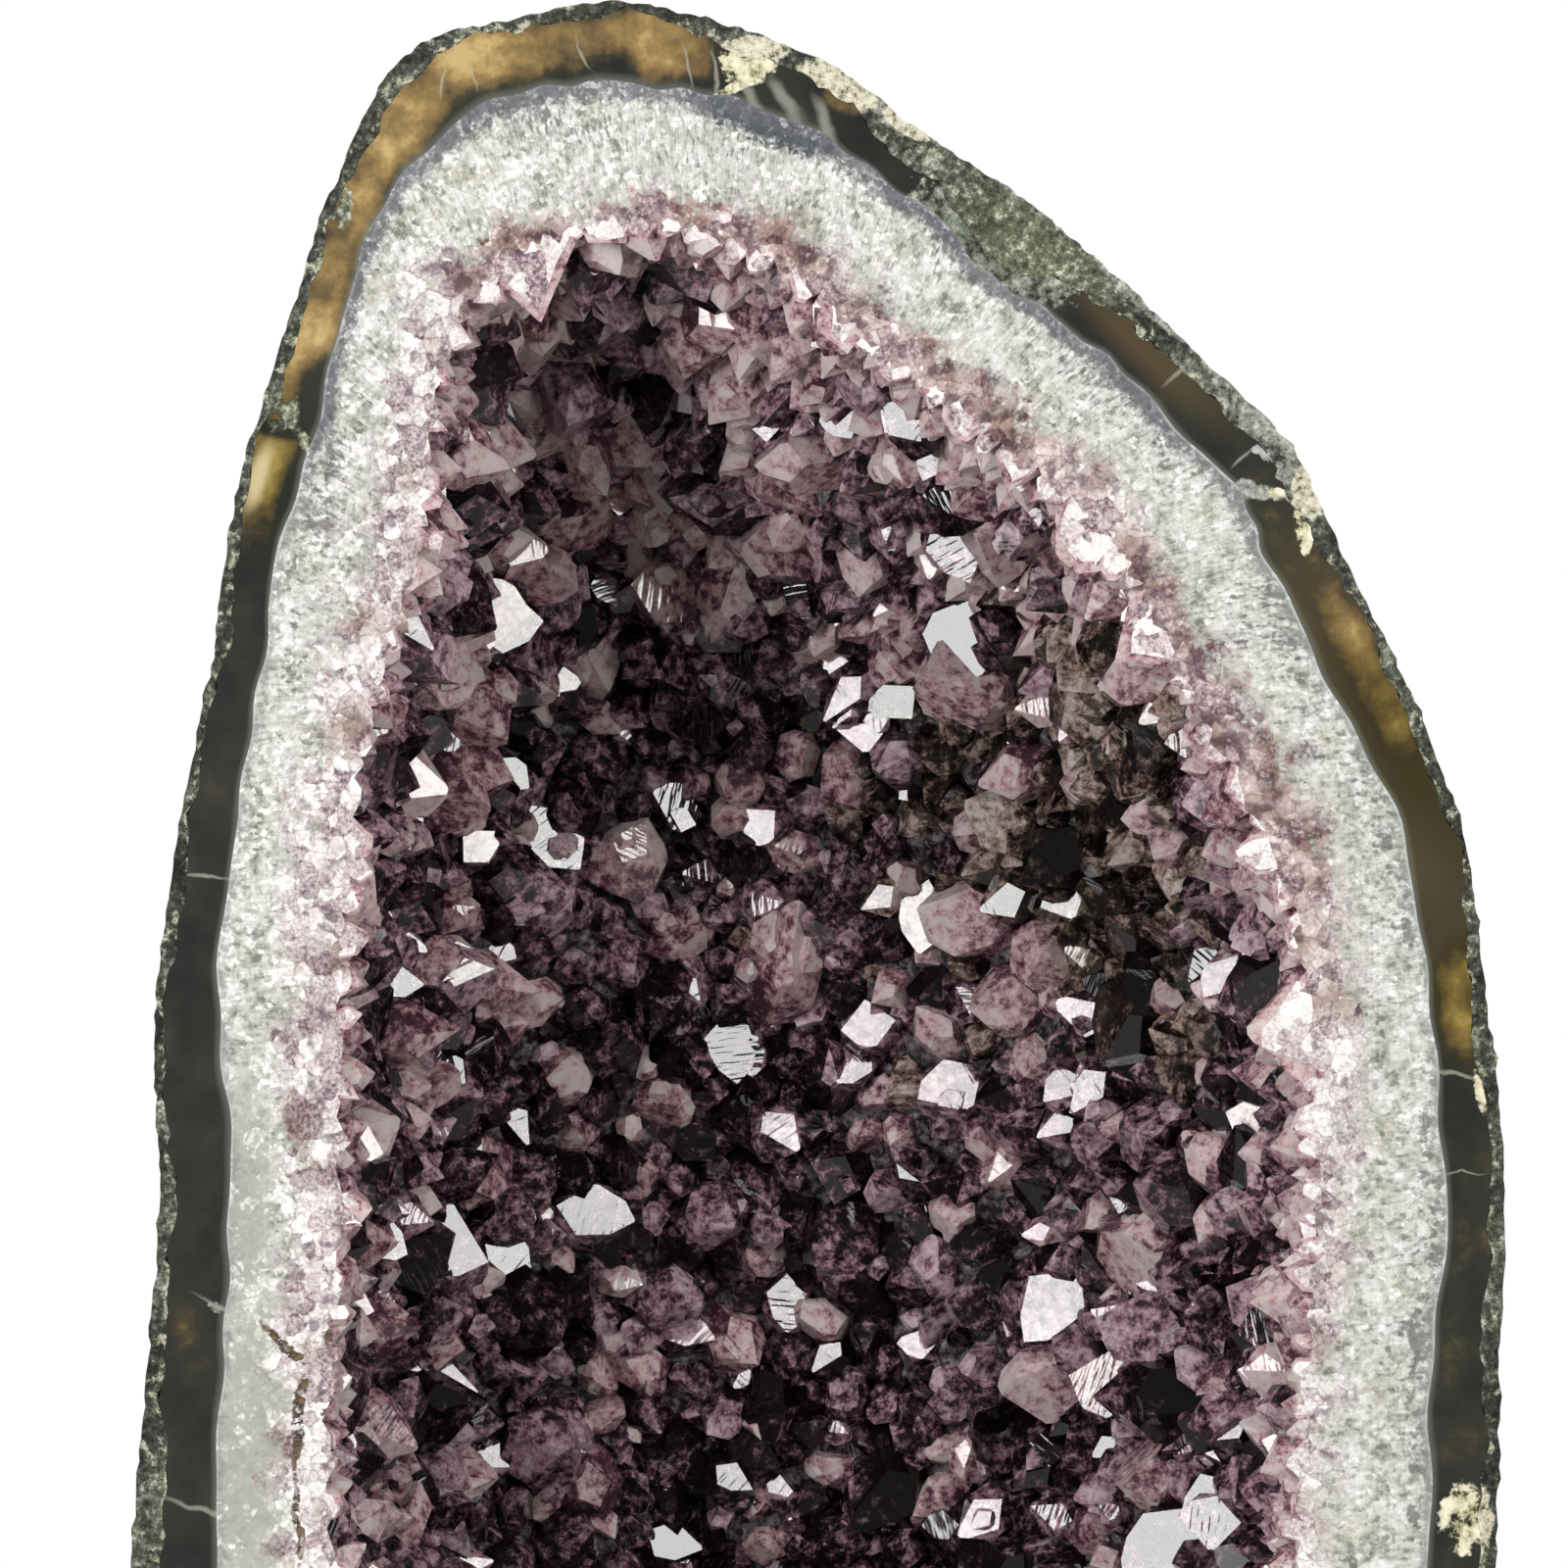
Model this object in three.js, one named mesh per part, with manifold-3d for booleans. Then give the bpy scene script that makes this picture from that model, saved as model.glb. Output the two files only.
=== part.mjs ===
// An amethyst cathedral geode: a tall hollow stone, sawn open down its front and sawn flat below so
// that it stands. The sawn front shows its layers, each grown inside the one before: a rough basalt
// rind, a band of agate, a layer of milky quartz, and the crust of amethyst points that lines the
// hollow. Millimetres, +Z up, the sawn front faces -Y.
import * as THREE from "three";
import { mergeVertices } from "three/addons/utils/BufferGeometryUtils.js";
import Module from "manifold-3d";

const wasm = await Module();
wasm.setup();

// Driving dimensions
const depth = 190; // sawn front to the furthest point of the back
const coreTop = new THREE.Vector3(-25, 0, 330); // the layers close in on this upright line
const coreFoot = new THREE.Vector3(0, 0, 112);
const layerGap = 0.3; // between one layer's solid and the next
const backWall = { rind: 6, agate: 14, quartz: 22 }; // thickness of each layer at the back
const sheetThickness = 9; // the grown-together roots of the amethyst points
const rindLumps = 4.5; // how far the rind's swellings stand out
const outerSteepness = 2.6; // how straight the outside runs back before it rounds off
const facesSteepness = Math.tan(THREE.MathUtils.degToRad(51.8)); // slope of a quartz point's faces
const pointRadius = { least: 10.5, spread: 5 }; // of the amethyst points that fill the hollow
const pointCrowding = 0.89; // distance between neighbouring points, over the sum of their radii
const pointLean = 0.6; // how unevenly the points stand
const frontReach = 20; // how far the cutting solids run out past the sawn front

// How finely the surfaces are divided.
const outerGrid = { columns: 44, rings: 10 };
const innerGrid = { columns: 34, rings: 5 };

// The sawn outline, clockwise from its peak, with the thickness of each layer there. The outline runs
// on below the foot, as the stone did before it was sawn off.
const outline = [
  { x: -42, z: 480, rind: 3, agate: 15, quartz: 22 },
  { x: -20, z: 475, rind: 5, agate: 12, quartz: 22 },
  { x: 3, z: 466, rind: 6, agate: 9, quartz: 23 },
  { x: 25, z: 450, rind: 8, agate: 6, quartz: 23 },
  { x: 46, z: 436, rind: 15, agate: 2.5, quartz: 20 },
  { x: 64, z: 421, rind: 8, agate: 8, quartz: 20 },
  { x: 80, z: 406, rind: 5, agate: 10, quartz: 22 },
  { x: 105, z: 381, rind: 7, agate: 9, quartz: 21 },
  { x: 113, z: 363, rind: 4, agate: 12, quartz: 20 },
  { x: 128, z: 333, rind: 3, agate: 13, quartz: 22 },
  { x: 142, z: 297, rind: 3, agate: 11, quartz: 20 },
  { x: 147, z: 262, rind: 3.5, agate: 9, quartz: 18 },
  { x: 151, z: 220, rind: 4, agate: 10, quartz: 19 },
  { x: 150, z: 178, rind: 4, agate: 11, quartz: 20 },
  { x: 149, z: 132, rind: 5, agate: 11, quartz: 21 },
  { x: 145, z: 82, rind: 5, agate: 12, quartz: 24 },
  { x: 134, z: 36, rind: 5, agate: 13, quartz: 29 },
  { x: 114, z: -2, rind: 5, agate: 13, quartz: 36 },
  { x: 72, z: -28, rind: 5, agate: 13, quartz: 42 },
  { x: 0, z: -38, rind: 5, agate: 13, quartz: 44 },
  { x: -74, z: -28, rind: 5, agate: 13, quartz: 42 },
  { x: -116, z: -2, rind: 5, agate: 13, quartz: 36 },
  { x: -136, z: 36, rind: 5, agate: 13, quartz: 28 },
  { x: -148, z: 86, rind: 6, agate: 12, quartz: 22 },
  { x: -151, z: 135, rind: 7, agate: 11, quartz: 18 },
  { x: -148, z: 178, rind: 5, agate: 13, quartz: 15 },
  { x: -145, z: 215, rind: 3, agate: 13, quartz: 16 },
  { x: -146, z: 253, rind: 3, agate: 12, quartz: 18 },
  { x: -141, z: 297, rind: 3, agate: 10, quartz: 18 },
  { x: -134, z: 333, rind: 3, agate: 8.5, quartz: 18 },
  { x: -128, z: 372, rind: 3, agate: 10, quartz: 21 },
  { x: -117, z: 408, rind: 3, agate: 10, quartz: 20 },
  { x: -106, z: 441, rind: 4, agate: 10, quartz: 21 },
  { x: -89, z: 470, rind: 5, agate: 14, quartz: 24 },
  { x: -64, z: 477, rind: 3, agate: 14, quartz: 23 },
];

// The largest amethyst points, by their place seen from the front.
const largePoints = [
  { x: -2, z: 259, radius: 15 },
  { x: -62, z: 416, radius: 13 },
  { x: -82, z: 364, radius: 11 },
  { x: -52, z: 367, radius: 12 },
  { x: 14, z: 338, radius: 11 },
  { x: 46, z: 307, radius: 12 },
  { x: -45, z: 262, radius: 13 },
  { x: 50, z: 240, radius: 12 },
  { x: 104, z: 251, radius: 14 },
  { x: -61, z: 144, radius: 16 },
  { x: -22, z: 201, radius: 16 },
  { x: 9, z: 182, radius: 12 },
  { x: 91, z: 191, radius: 13 },
  { x: 76, z: 344, radius: 14 },
  { x: -22, z: 295, radius: 12 },
];

// A repeatable source of numbers from 0 to 1.
function makeRandom(seed) {
  let state = seed;
  return () => {
    state = (state * 1664525 + 1013904223) >>> 0;
    return state / 2 ** 32;
  };
}

function nearestOnCore(point) {
  return new THREE.Line3(coreFoot, coreTop).closestPointToPoint(point, true, new THREE.Vector3());
}

// The sawn outline moved inwards by the thickness that each of its points gives.
function layerCurve(inset) {
  const points = outline.map((entry) => {
    const point = new THREE.Vector3(entry.x, 0, entry.z);
    const inwards = nearestOnCore(point).sub(point).normalize();
    return point.addScaledVector(inwards, inset(entry));
  });
  return new THREE.CatmullRomCurve3(points, true, "centripetal");
}

const wallThickness = (layers) => layers.rind + layers.agate + layers.quartz;
const outerCurve = layerCurve(() => 0);
const crustCurve = layerCurve(wallThickness);

// A value of the outline's points, read anywhere around the outline.
function around(value, turn) {
  const place = (turn - Math.floor(turn)) * outline.length;
  const from = Math.floor(place);
  const ease = THREE.MathUtils.smoothstep(place - from, 0, 1);
  const ends = [outline[from], outline[(from + 1) % outline.length]].map(value);
  return THREE.MathUtils.lerp(ends[0], ends[1], ease);
}

// A rounded bubble runs from angle 0 at the sawn face to a right angle at the back. This gives how much
// of its outline is left there, and how deep it has gone. A low steepness slopes in like a cone, and a
// high one goes straight back like a box.
function roundOff(angle, steepness) {
  const power = 2 / steepness;
  const rise = Math.sin(angle);
  return {
    spread: Math.max(Math.cos(angle), 0) ** power,
    sink: Math.sign(rise) * Math.abs(rise) ** power,
  };
}

function outerPoint(turn, angle) {
  const rim = outerCurve.getPoint(turn);
  const core = nearestOnCore(rim);
  const { spread, sink } = roundOff(angle, outerSteepness);
  return core.clone().addScaledVector(rim.sub(core), spread).setY(depth * sink);
}

// The root side of the amethyst crust, or a surface some way further in. The wall slopes in gently at
// the top and on the right, and goes straight back, a little undercut, on the left.
function crustPoint(turn, angle, further = 0) {
  const core = nearestOnCore(outerCurve.getPoint(turn));
  const arm = crustCurve.getPoint(turn).sub(core);
  const { x: right, z: up } = arm.clone().normalize();
  const steepness = 2.3 - 0.55 * right - 0.8 * Math.max(up, 0) ** 2 + 0.2 * Math.max(-up, 0);
  const { spread, sink } = roundOff(angle, steepness);
  const undercut = 0.28 * Math.max(-right, 0) * sink * (1 - sink) ** 2;
  arm.setLength(arm.length() - further);
  const crustDepth = depth - wallThickness(backWall) - further;
  return core.clone().addScaledVector(arm, spread + undercut).setY(crustDepth * sink);
}

// A surface inside the wall, where the layers outside it end.
function wallPoint(layersOutside, turn, angle, further = 0) {
  const share = (entry) => layersOutside(entry) / wallThickness(entry);
  const outer = outerPoint(turn, angle);
  const inwards = crustPoint(turn, angle).sub(outer);
  const reached = THREE.MathUtils.lerp(around(share, turn), share(backWall), Math.sin(angle));
  return outer.addScaledVector(inwards, reached + further / inwards.length());
}

const insideRind = (...place) => wallPoint(({ rind }) => rind, ...place);
const insideAgate = (...place) => wallPoint(({ rind, agate }) => rind + agate, ...place);

// Smooth swellings and hollows over the rind, from waves that cross.
function lumpHeight({ x, y, z }) {
  const broad = Math.sin(x / 31 + 1.3 * Math.sin(z / 47)) * Math.sin(z / 37 + y / 29);
  const fine = Math.sin(x / 11 - z / 17) * Math.sin(z / 13 + y / 9) * Math.sin(y / 14 + 2);
  return rindLumps * (0.6 * broad + 0.4 * fine);
}

// The outside, with its lumps. They fade towards the front, where the sawn outline stays true.
function lumpyPoint(turn, angle) {
  const point = outerPoint(turn, angle);
  const outwards = point.clone().sub(nearestOnCore(point).setY(0)).normalize();
  const fade = THREE.MathUtils.smoothstep(angle, 0, 0.4);
  return point.addScaledVector(outwards, lumpHeight(point) * fade);
}

// A three.js geometry as a solid that can be joined and cut.
function solidOf(geometry) {
  const bare = geometry.clone();
  bare.deleteAttribute("normal");
  bare.deleteAttribute("uv");
  const merged = mergeVertices(bare, 1e-4);
  const mesh = new wasm.Mesh({
    numProp: 3,
    vertProperties: new Float32Array(merged.attributes.position.array),
    triVerts: new Uint32Array(merged.index.array),
  });
  return new wasm.Manifold(mesh);
}

function geometryOf(solid) {
  const mesh = solid.getMesh();
  const geometry = new THREE.BufferGeometry();
  geometry.setAttribute("position", new THREE.BufferAttribute(mesh.vertProperties, 3));
  geometry.setIndex(new THREE.BufferAttribute(mesh.triVerts, 1));
  geometry.computeVertexNormals();
  return geometry;
}

// A closed solid of one of these surfaces. Its front is flat, at the saw cut or some way before it.
function bubble(surface, { columns, rings }, further = 0, frontY = 0) {
  const lastAngle = THREE.MathUtils.degToRad(83);
  const vertices = [];
  const addRing = (angle, y) => {
    for (let i = 0; i < columns; i++) {
      const point = surface(i / columns, angle, further);
      vertices.push(point.x, y ?? point.y, point.z);
    }
  };
  if (frontY < 0) addRing(0, frontY);
  for (let j = 0; j <= rings; j++) addRing((lastAngle * j) / rings);
  const ringCount = vertices.length / 3 / columns;
  const frontMiddle = ringCount * columns;
  const middle = coreFoot.clone().lerp(coreTop, 0.5);
  const backY = vertices[vertices.length - 2];
  vertices.push(middle.x, frontY, middle.z, middle.x, backY, middle.z);
  const faces = [];
  for (let i = 0; i < columns; i++) {
    const next = (i + 1) % columns;
    faces.push(frontMiddle, next, i);
    for (let j = 0; j < ringCount - 1; j++) {
      const [a, b] = [j * columns + i, j * columns + next];
      faces.push(a, b, b + columns, a, b + columns, a + columns);
    }
    const last = (ringCount - 1) * columns;
    faces.push(frontMiddle + 1, last + i, last + next);
  }
  const geometry = new THREE.BufferGeometry();
  geometry.setAttribute("position", new THREE.Float32BufferAttribute(vertices, 3));
  geometry.setIndex(faces);
  return solidOf(geometry);
}

// Joins many solids, two by two.
function joinAll(solids) {
  let row = solids;
  while (row.length > 1) {
    const pairs = [];
    for (let i = 0; i < row.length; i += 2) {
      pairs.push(i + 1 < row.length ? row[i].add(row[i + 1]) : row[i]);
    }
    row = pairs;
  }
  return row[0];
}

// The largest of the separate skins that a solid has.
function largestSkin(solid) {
  const { vertProperties, triVerts } = solid.getMesh();
  const parent = Array.from({ length: vertProperties.length / 3 }, (_, i) => i);
  const rootOf = (vertex) => {
    let root = vertex;
    while (parent[root] !== root) root = parent[root];
    parent[vertex] = root;
    return root;
  };
  for (let i = 0; i < triVerts.length; i += 3) {
    parent[rootOf(triVerts[i])] = rootOf(triVerts[i + 1]);
    parent[rootOf(triVerts[i + 1])] = rootOf(triVerts[i + 2]);
  }
  const corners = new Map();
  for (const vertex of triVerts) {
    const root = rootOf(vertex);
    corners.set(root, (corners.get(root) ?? 0) + 1);
  }
  const [largest] = [...corners].sort((a, b) => b[1] - a[1])[0];
  const geometry = new THREE.BufferGeometry();
  geometry.setAttribute("position", new THREE.BufferAttribute(vertProperties, 3));
  geometry.setIndex(Array.from(triVerts).filter((vertex) => rootOf(vertex) === largest));
  return solidOf(geometry.toNonIndexed());
}

// The end of an amethyst point of radius 1, with its tip at the origin: three faces that meet there
// and, where a drop is given, three lesser ones that start further down, at the corners between them.
function pointEnd(lesserDrop) {
  const radius = 6;
  const threeFaces = (drop, turn) => {
    const height = (radius / 2) * facesSteepness;
    const cone = new THREE.ConeGeometry(radius, height, 3).rotateX(Math.PI / 2);
    return solidOf(cone.rotateZ(turn).translate(0, 0, drop - height / 2));
  };
  const large = threeFaces(0, 0);
  return geometryOf(lesserDrop ? large.intersect(threeFaces(lesserDrop, Math.PI / 3)) : large);
}

// Where each amethyst point stands: the large ones first, then as many others as find room.
function pointPlaces() {
  const random = makeRandom(11);
  const places = [];
  const onSheet = (turn, angle) => crustPoint(turn, angle, sheetThickness);
  const placeAt = (turn, angle, radius) => {
    const along = onSheet(turn + 0.002, angle).sub(onSheet(turn - 0.002, angle));
    const deeper = onSheet(turn, angle + 0.02).sub(onSheet(turn, angle - 0.02));
    return { at: onSheet(turn, angle), inwards: deeper.cross(along).normalize(), radius };
  };
  const hasRoom = ({ at, radius }) =>
    places.every((other) => other.at.distanceTo(at) > pointCrowding * (other.radius + radius));
  for (const { x, z, radius } of largePoints) {
    let best = { miss: Infinity };
    for (let i = 0; i < 120; i++) {
      for (let j = 1; j < 40; j++) {
        const place = placeAt(i / 120, (j / 40) * (Math.PI / 2), radius);
        const miss = Math.hypot(place.at.x - x, place.at.z - z);
        if (miss < best.miss) best = { ...place, miss };
      }
    }
    places.push(best);
  }
  for (let attempt = 0; attempt < 4000; attempt++) {
    const angle = THREE.MathUtils.lerp(-0.05, Math.PI / 2, random());
    const radius = pointRadius.least + pointRadius.spread * random() ** 2;
    const place = placeAt(random(), angle, radius);
    if (hasRoom(place)) places.push(place);
  }
  return places;
}

function amethystCrust() {
  const random = makeRandom(29);
  const plainEnd = pointEnd(0);
  const facetedEnds = [0.15, 0.3, 0.5].map(pointEnd);
  const upwards = new THREE.Vector3(0, 0, 1);
  const points = pointPlaces().map(({ at, inwards, radius }) => {
    const lean = new THREE.Vector3(random() - 0.5, random() - 0.5, random() - 0.5);
    const axis = inwards.clone().addScaledVector(lean, pointLean).normalize();
    const tip = at.clone().addScaledVector(axis, radius * (0.95 + 0.3 * random()));
    const ends = random() < 0.15 || radius > 13 ? facetedEnds : [plainEnd];
    const end = ends[Math.floor(random() * ends.length)].clone();
    end.rotateZ(random() * Math.PI).scale(radius, radius, radius);
    end.applyQuaternion(new THREE.Quaternion().setFromUnitVectors(upwards, axis));
    return solidOf(end.translate(tip.x, tip.y, tip.z));
  });
  const hollow = bubble(crustPoint, innerGrid, sheetThickness, -frontReach);
  const space = largestSkin(hollow.subtract(joinAll(points)));
  return bubble(crustPoint, innerGrid, layerGap).subtract(space);
}

// One layer of the wall, open at the sawn front and sawn off at the foot.
function wallLayer(outside, insideSurface) {
  const size = 4 * depth;
  const belowFoot = solidOf(new THREE.BoxGeometry(size, size, size).translate(0, 0, -size / 2));
  const inside = bubble(insideSurface, innerGrid, 0, -frontReach);
  return outside.subtract(inside).subtract(belowFoot);
}

const basaltRind = wallLayer(bubble(lumpyPoint, outerGrid), insideRind);
const agateBand = wallLayer(bubble(insideRind, innerGrid, layerGap), insideAgate);
const quartzLayer = wallLayer(bubble(insideAgate, innerGrid, layerGap), crustPoint);

const layers = [
  ["basalt_rind", basaltRind, { color: 0x575b50, roughness: 0.9 }],
  ["agate_band", agateBand, { color: 0x4a463c, roughness: 0.25 }],
  ["quartz_layer", quartzLayer, { color: 0xd6d8d0, roughness: 0.35 }],
  ["amethyst_crust", amethystCrust(), { color: 0x5b4058, roughness: 0.08 }],
];

const geode = new THREE.Group();
for (const [name, solid, finish] of layers) {
  const material = new THREE.MeshStandardMaterial({ ...finish, metalness: 0, flatShading: true });
  const mesh = new THREE.Mesh(geometryOf(solid), material);
  mesh.name = name;
  geode.add(mesh);
}

// The origin is the middle of the foot, under the centre of the stone's box.
const centre = new THREE.Box3().setFromObject(geode).getCenter(new THREE.Vector3());
geode.position.set(-centre.x, -centre.y, 0);

export default geode;
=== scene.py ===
# The looks of an amethyst cathedral geode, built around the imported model. Metres, +Z up, front -Y.
import math
import random

import bpy
import numpy as np
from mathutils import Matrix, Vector, noise


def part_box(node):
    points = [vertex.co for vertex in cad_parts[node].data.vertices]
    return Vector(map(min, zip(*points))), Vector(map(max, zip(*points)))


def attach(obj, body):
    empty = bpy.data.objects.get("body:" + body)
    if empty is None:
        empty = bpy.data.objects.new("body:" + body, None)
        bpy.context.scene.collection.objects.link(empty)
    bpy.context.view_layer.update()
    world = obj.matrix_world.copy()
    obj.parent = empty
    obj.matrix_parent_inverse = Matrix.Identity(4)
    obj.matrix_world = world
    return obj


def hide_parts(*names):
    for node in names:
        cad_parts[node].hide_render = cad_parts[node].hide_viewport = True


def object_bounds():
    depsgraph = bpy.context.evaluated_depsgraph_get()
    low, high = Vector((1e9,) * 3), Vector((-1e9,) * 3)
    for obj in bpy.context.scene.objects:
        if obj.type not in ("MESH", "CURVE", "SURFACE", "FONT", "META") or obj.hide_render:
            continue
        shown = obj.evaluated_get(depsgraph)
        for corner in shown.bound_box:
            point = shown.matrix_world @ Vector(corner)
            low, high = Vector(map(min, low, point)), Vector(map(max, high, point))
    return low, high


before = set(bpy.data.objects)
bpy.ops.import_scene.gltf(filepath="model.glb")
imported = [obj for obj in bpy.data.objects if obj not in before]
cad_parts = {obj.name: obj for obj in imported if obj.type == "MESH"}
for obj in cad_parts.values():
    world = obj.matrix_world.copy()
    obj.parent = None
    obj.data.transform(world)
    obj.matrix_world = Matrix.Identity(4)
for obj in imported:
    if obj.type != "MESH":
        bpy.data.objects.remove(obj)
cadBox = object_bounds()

mm = 0.001
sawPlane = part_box("quartz_layer")[0].y   # every layer is sawn off here, and the camera faces it
stoneDepth = 190 * mm                    # sawn front to the furthest point of the back
coreFoot = np.array([0, 112]) * mm       # x and z of the upright line that the layers close in on
coreTop = np.array([-25, 330]) * mm
backWall = {"rind": 6 * mm, "agate": 14 * mm, "quartz": 22 * mm}
outerSteepness = 2.6                     # how straight the outside runs back before it rounds off
facetSlope = math.radians(51.8)          # between a quartz point's end faces and its cross-section

# The sawn outline, clockwise from its peak: x, z, and the thickness of rind, agate and quartz, in mm.
outline = np.array([
    (-42, 480, 3, 15, 22), (-20, 475, 5, 12, 22), (3, 466, 6, 9, 23), (25, 450, 8, 6, 23),
    (46, 436, 15, 2.5, 20), (64, 421, 8, 8, 20), (80, 406, 5, 10, 22), (105, 381, 7, 9, 21),
    (113, 363, 4, 12, 20), (128, 333, 3, 13, 22), (142, 297, 3, 11, 20), (147, 262, 3.5, 9, 18),
    (151, 220, 4, 10, 19), (150, 178, 4, 11, 20), (149, 132, 5, 11, 21), (145, 82, 5, 12, 24),
    (134, 36, 5, 13, 29), (114, -2, 5, 13, 36), (72, -28, 5, 13, 42), (0, -38, 5, 13, 44),
    (-74, -28, 5, 13, 42), (-116, -2, 5, 13, 36), (-136, 36, 5, 13, 28), (-148, 86, 6, 12, 22),
    (-151, 135, 7, 11, 18), (-148, 178, 5, 13, 15), (-145, 215, 3, 13, 16), (-146, 253, 3, 12, 18),
    (-141, 297, 3, 10, 18), (-134, 333, 3, 8.5, 18), (-128, 372, 3, 10, 21), (-117, 408, 3, 10, 20),
    (-106, 441, 4, 10, 21), (-89, 470, 5, 14, 24), (-64, 477, 3, 14, 23),
]) * mm
seamTurn = 19 / len(outline)   # the UV seam runs down here, under the foot, where it is sawn away

eye = {"place": Vector((-7.5 * mm, sawPlane - 1.2, 308 * mm)), "frameWidth": 344 * mm, "sensor": 36}


def deselectAll():
    if bpy.context.object and bpy.context.object.mode != "OBJECT":
        bpy.ops.object.mode_set(mode="OBJECT")
    bpy.ops.object.select_all(action="DESELECT")


def pickOnly(piece):
    deselectAll()
    piece.select_set(True)
    bpy.context.view_layer.objects.active = piece


def finishModifier(piece, kind, **settings):
    pickOnly(piece)
    modifier = piece.modifiers.new(kind.lower(), kind)
    for name, value in settings.items():
        setattr(modifier, name, value)
    bpy.ops.object.modifier_apply(modifier=modifier.name)


def joinOrCut(piece, other, operation):
    finishModifier(piece, "BOOLEAN", operation=operation, solver="MANIFOLD", object=other)
    bpy.data.objects.remove(other)


def smoothStep(low, high, value):
    t = np.clip((value - low) / (high - low), 0, 1)
    return t * t * (3 - 2 * t)


# The stone's surfaces, for arrays of turn (0 to 1 round the outline) and angle (0 at the saw cut to a
# right angle at the back).
def throughPoints(points, turn):
    count = len(points)
    place = (turn % 1) * count
    start = np.floor(place).astype(int)
    t = (place - start)[:, None]
    before, first, second, after = [points[(start + k) % count] for k in (-1, 0, 1, 2)]
    gaps = [np.linalg.norm(b - a, axis=1, keepdims=True) ** 0.5
            for a, b in ((before, first), (first, second), (second, after))]
    leave = (first - before) / gaps[0] - (second - before) / (gaps[0] + gaps[1])
    arrive = (after - second) / gaps[2] - (after - first) / (gaps[1] + gaps[2])
    leave = leave * gaps[1] + second - first
    arrive = arrive * gaps[1] + second - first
    bend = 3 * (second - first) - 2 * leave - arrive
    return first + leave * t + bend * t**2 + (2 * (first - second) + leave + arrive) * t**3


def nearestOnCore(points):
    core = coreTop - coreFoot
    share = np.clip((points - coreFoot) @ core / (core @ core), 0, 1)
    return coreFoot + share[:, None] * core


outerRim = outline[:, :2]
inwards = nearestOnCore(outerRim) - outerRim
inwards /= np.linalg.norm(inwards, axis=1, keepdims=True)
crustRim = outerRim + inwards * outline[:, 2:].sum(axis=1, keepdims=True)


def around(values, turn):
    place = (turn % 1) * len(values)
    start = np.floor(place).astype(int)
    ease = smoothStep(0, 1, place - start)
    return values[start % len(values)] * (1 - ease) + values[(start + 1) % len(values)] * ease


def roundOff(angle, steepness):
    power = 2 / steepness
    rise = np.sin(angle)
    return np.maximum(np.cos(angle), 0) ** power, np.sign(rise) * np.abs(rise) ** power


def inSpace(core, arm, spread, depth):
    closing = smoothStep(0, 0.3, spread)[:, None]   # the back closes on one point
    core = core * closing + (coreFoot + coreTop) / 2 * (1 - closing)
    flat = core + arm
    return np.column_stack([flat[:, 0], sawPlane + depth, flat[:, 1]])


def outerPoint(turn, angle):
    rim = throughPoints(outerRim, turn)
    core = nearestOnCore(rim)
    spread, sink = roundOff(angle, outerSteepness)
    return inSpace(core, (rim - core) * spread[:, None], spread, stoneDepth * sink)


# The arm from the upright line to the rim of the hollow.
def rimArm(turn):
    core = nearestOnCore(throughPoints(outerRim, turn))
    arm = throughPoints(crustRim, turn) - core
    return core, arm, np.linalg.norm(arm, axis=1)


def crustPoint(turn, angle, further=0.0):
    core, arm, length = rimArm(turn)
    right, up = (arm / length[:, None]).T
    steepness = 2.3 - 0.55 * right - 0.8 * np.maximum(up, 0) ** 2 + 0.2 * np.maximum(-up, 0)
    spread, sink = roundOff(angle, steepness)
    undercut = 0.28 * np.maximum(-right, 0) * sink * (1 - sink) ** 2
    reach = (spread + undercut) * (length - further) / length
    depth = (stoneDepth - sum(backWall.values()) - further) * sink
    return inSpace(core, arm * reach[:, None], spread, depth)


def wallPoint(layersOutside, turn, angle, waver=0.0):
    outer = outerPoint(turn, angle)
    inner = crustPoint(turn, angle)
    thickness = outline[:, 2:].sum(axis=1)
    atFront = around(outline[:, 2:2 + layersOutside].sum(axis=1) / thickness, turn)
    atBack = sum(list(backWall.values())[:layersOutside]) / sum(backWall.values())
    reached = atFront + (atBack - atFront) * np.sin(angle)
    across = np.linalg.norm(inner - outer, axis=1)
    return outer + (inner - outer) * (reached + waver / across)[:, None]


# An uneven line round the stone, from waves of these lengths in mm.
def wavering(turn, lengths, seed):
    pick = random.Random(seed)
    total = np.zeros(len(turn))
    for length in lengths:
        waves = round(1300 / length)
        total += np.sin(2 * math.pi * (waves * turn + pick.random())) * math.sqrt(length)
    return total / math.sqrt(sum(lengths))


# Where one layer meets the next. The boundaries are uneven, as they grew.
boundaries = {
    "rindWaver": {"size": 1.1 * mm, "lengths": (61, 29, 17, 11, 7.5, 5)},
    "agateWaver": {"size": 0.9 * mm, "lengths": (83, 47, 27, 19)},
    "rootWaver": {"size": 1.3 * mm, "lengths": (17, 11, 7, 4.5)},
    "rootDepth": 8.5 * mm,    # the milky roots of the amethyst points
    "skinInner": 6.5 * mm,    # the clear skin that joins the points, sunk in those roots
    "skinOuter": 3.5 * mm,
    "paleReach": 26 * mm,     # how far in from the rim the amethyst is pale
}


def insideRind(turn, angle):
    waver = boundaries["rindWaver"]
    return wallPoint(1, turn, angle, waver["size"] * wavering(turn, waver["lengths"], 5))


def insideAgate(turn, angle):
    waver = boundaries["agateWaver"]
    return wallPoint(2, turn, angle, waver["size"] * wavering(turn, waver["lengths"], 8))


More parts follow.
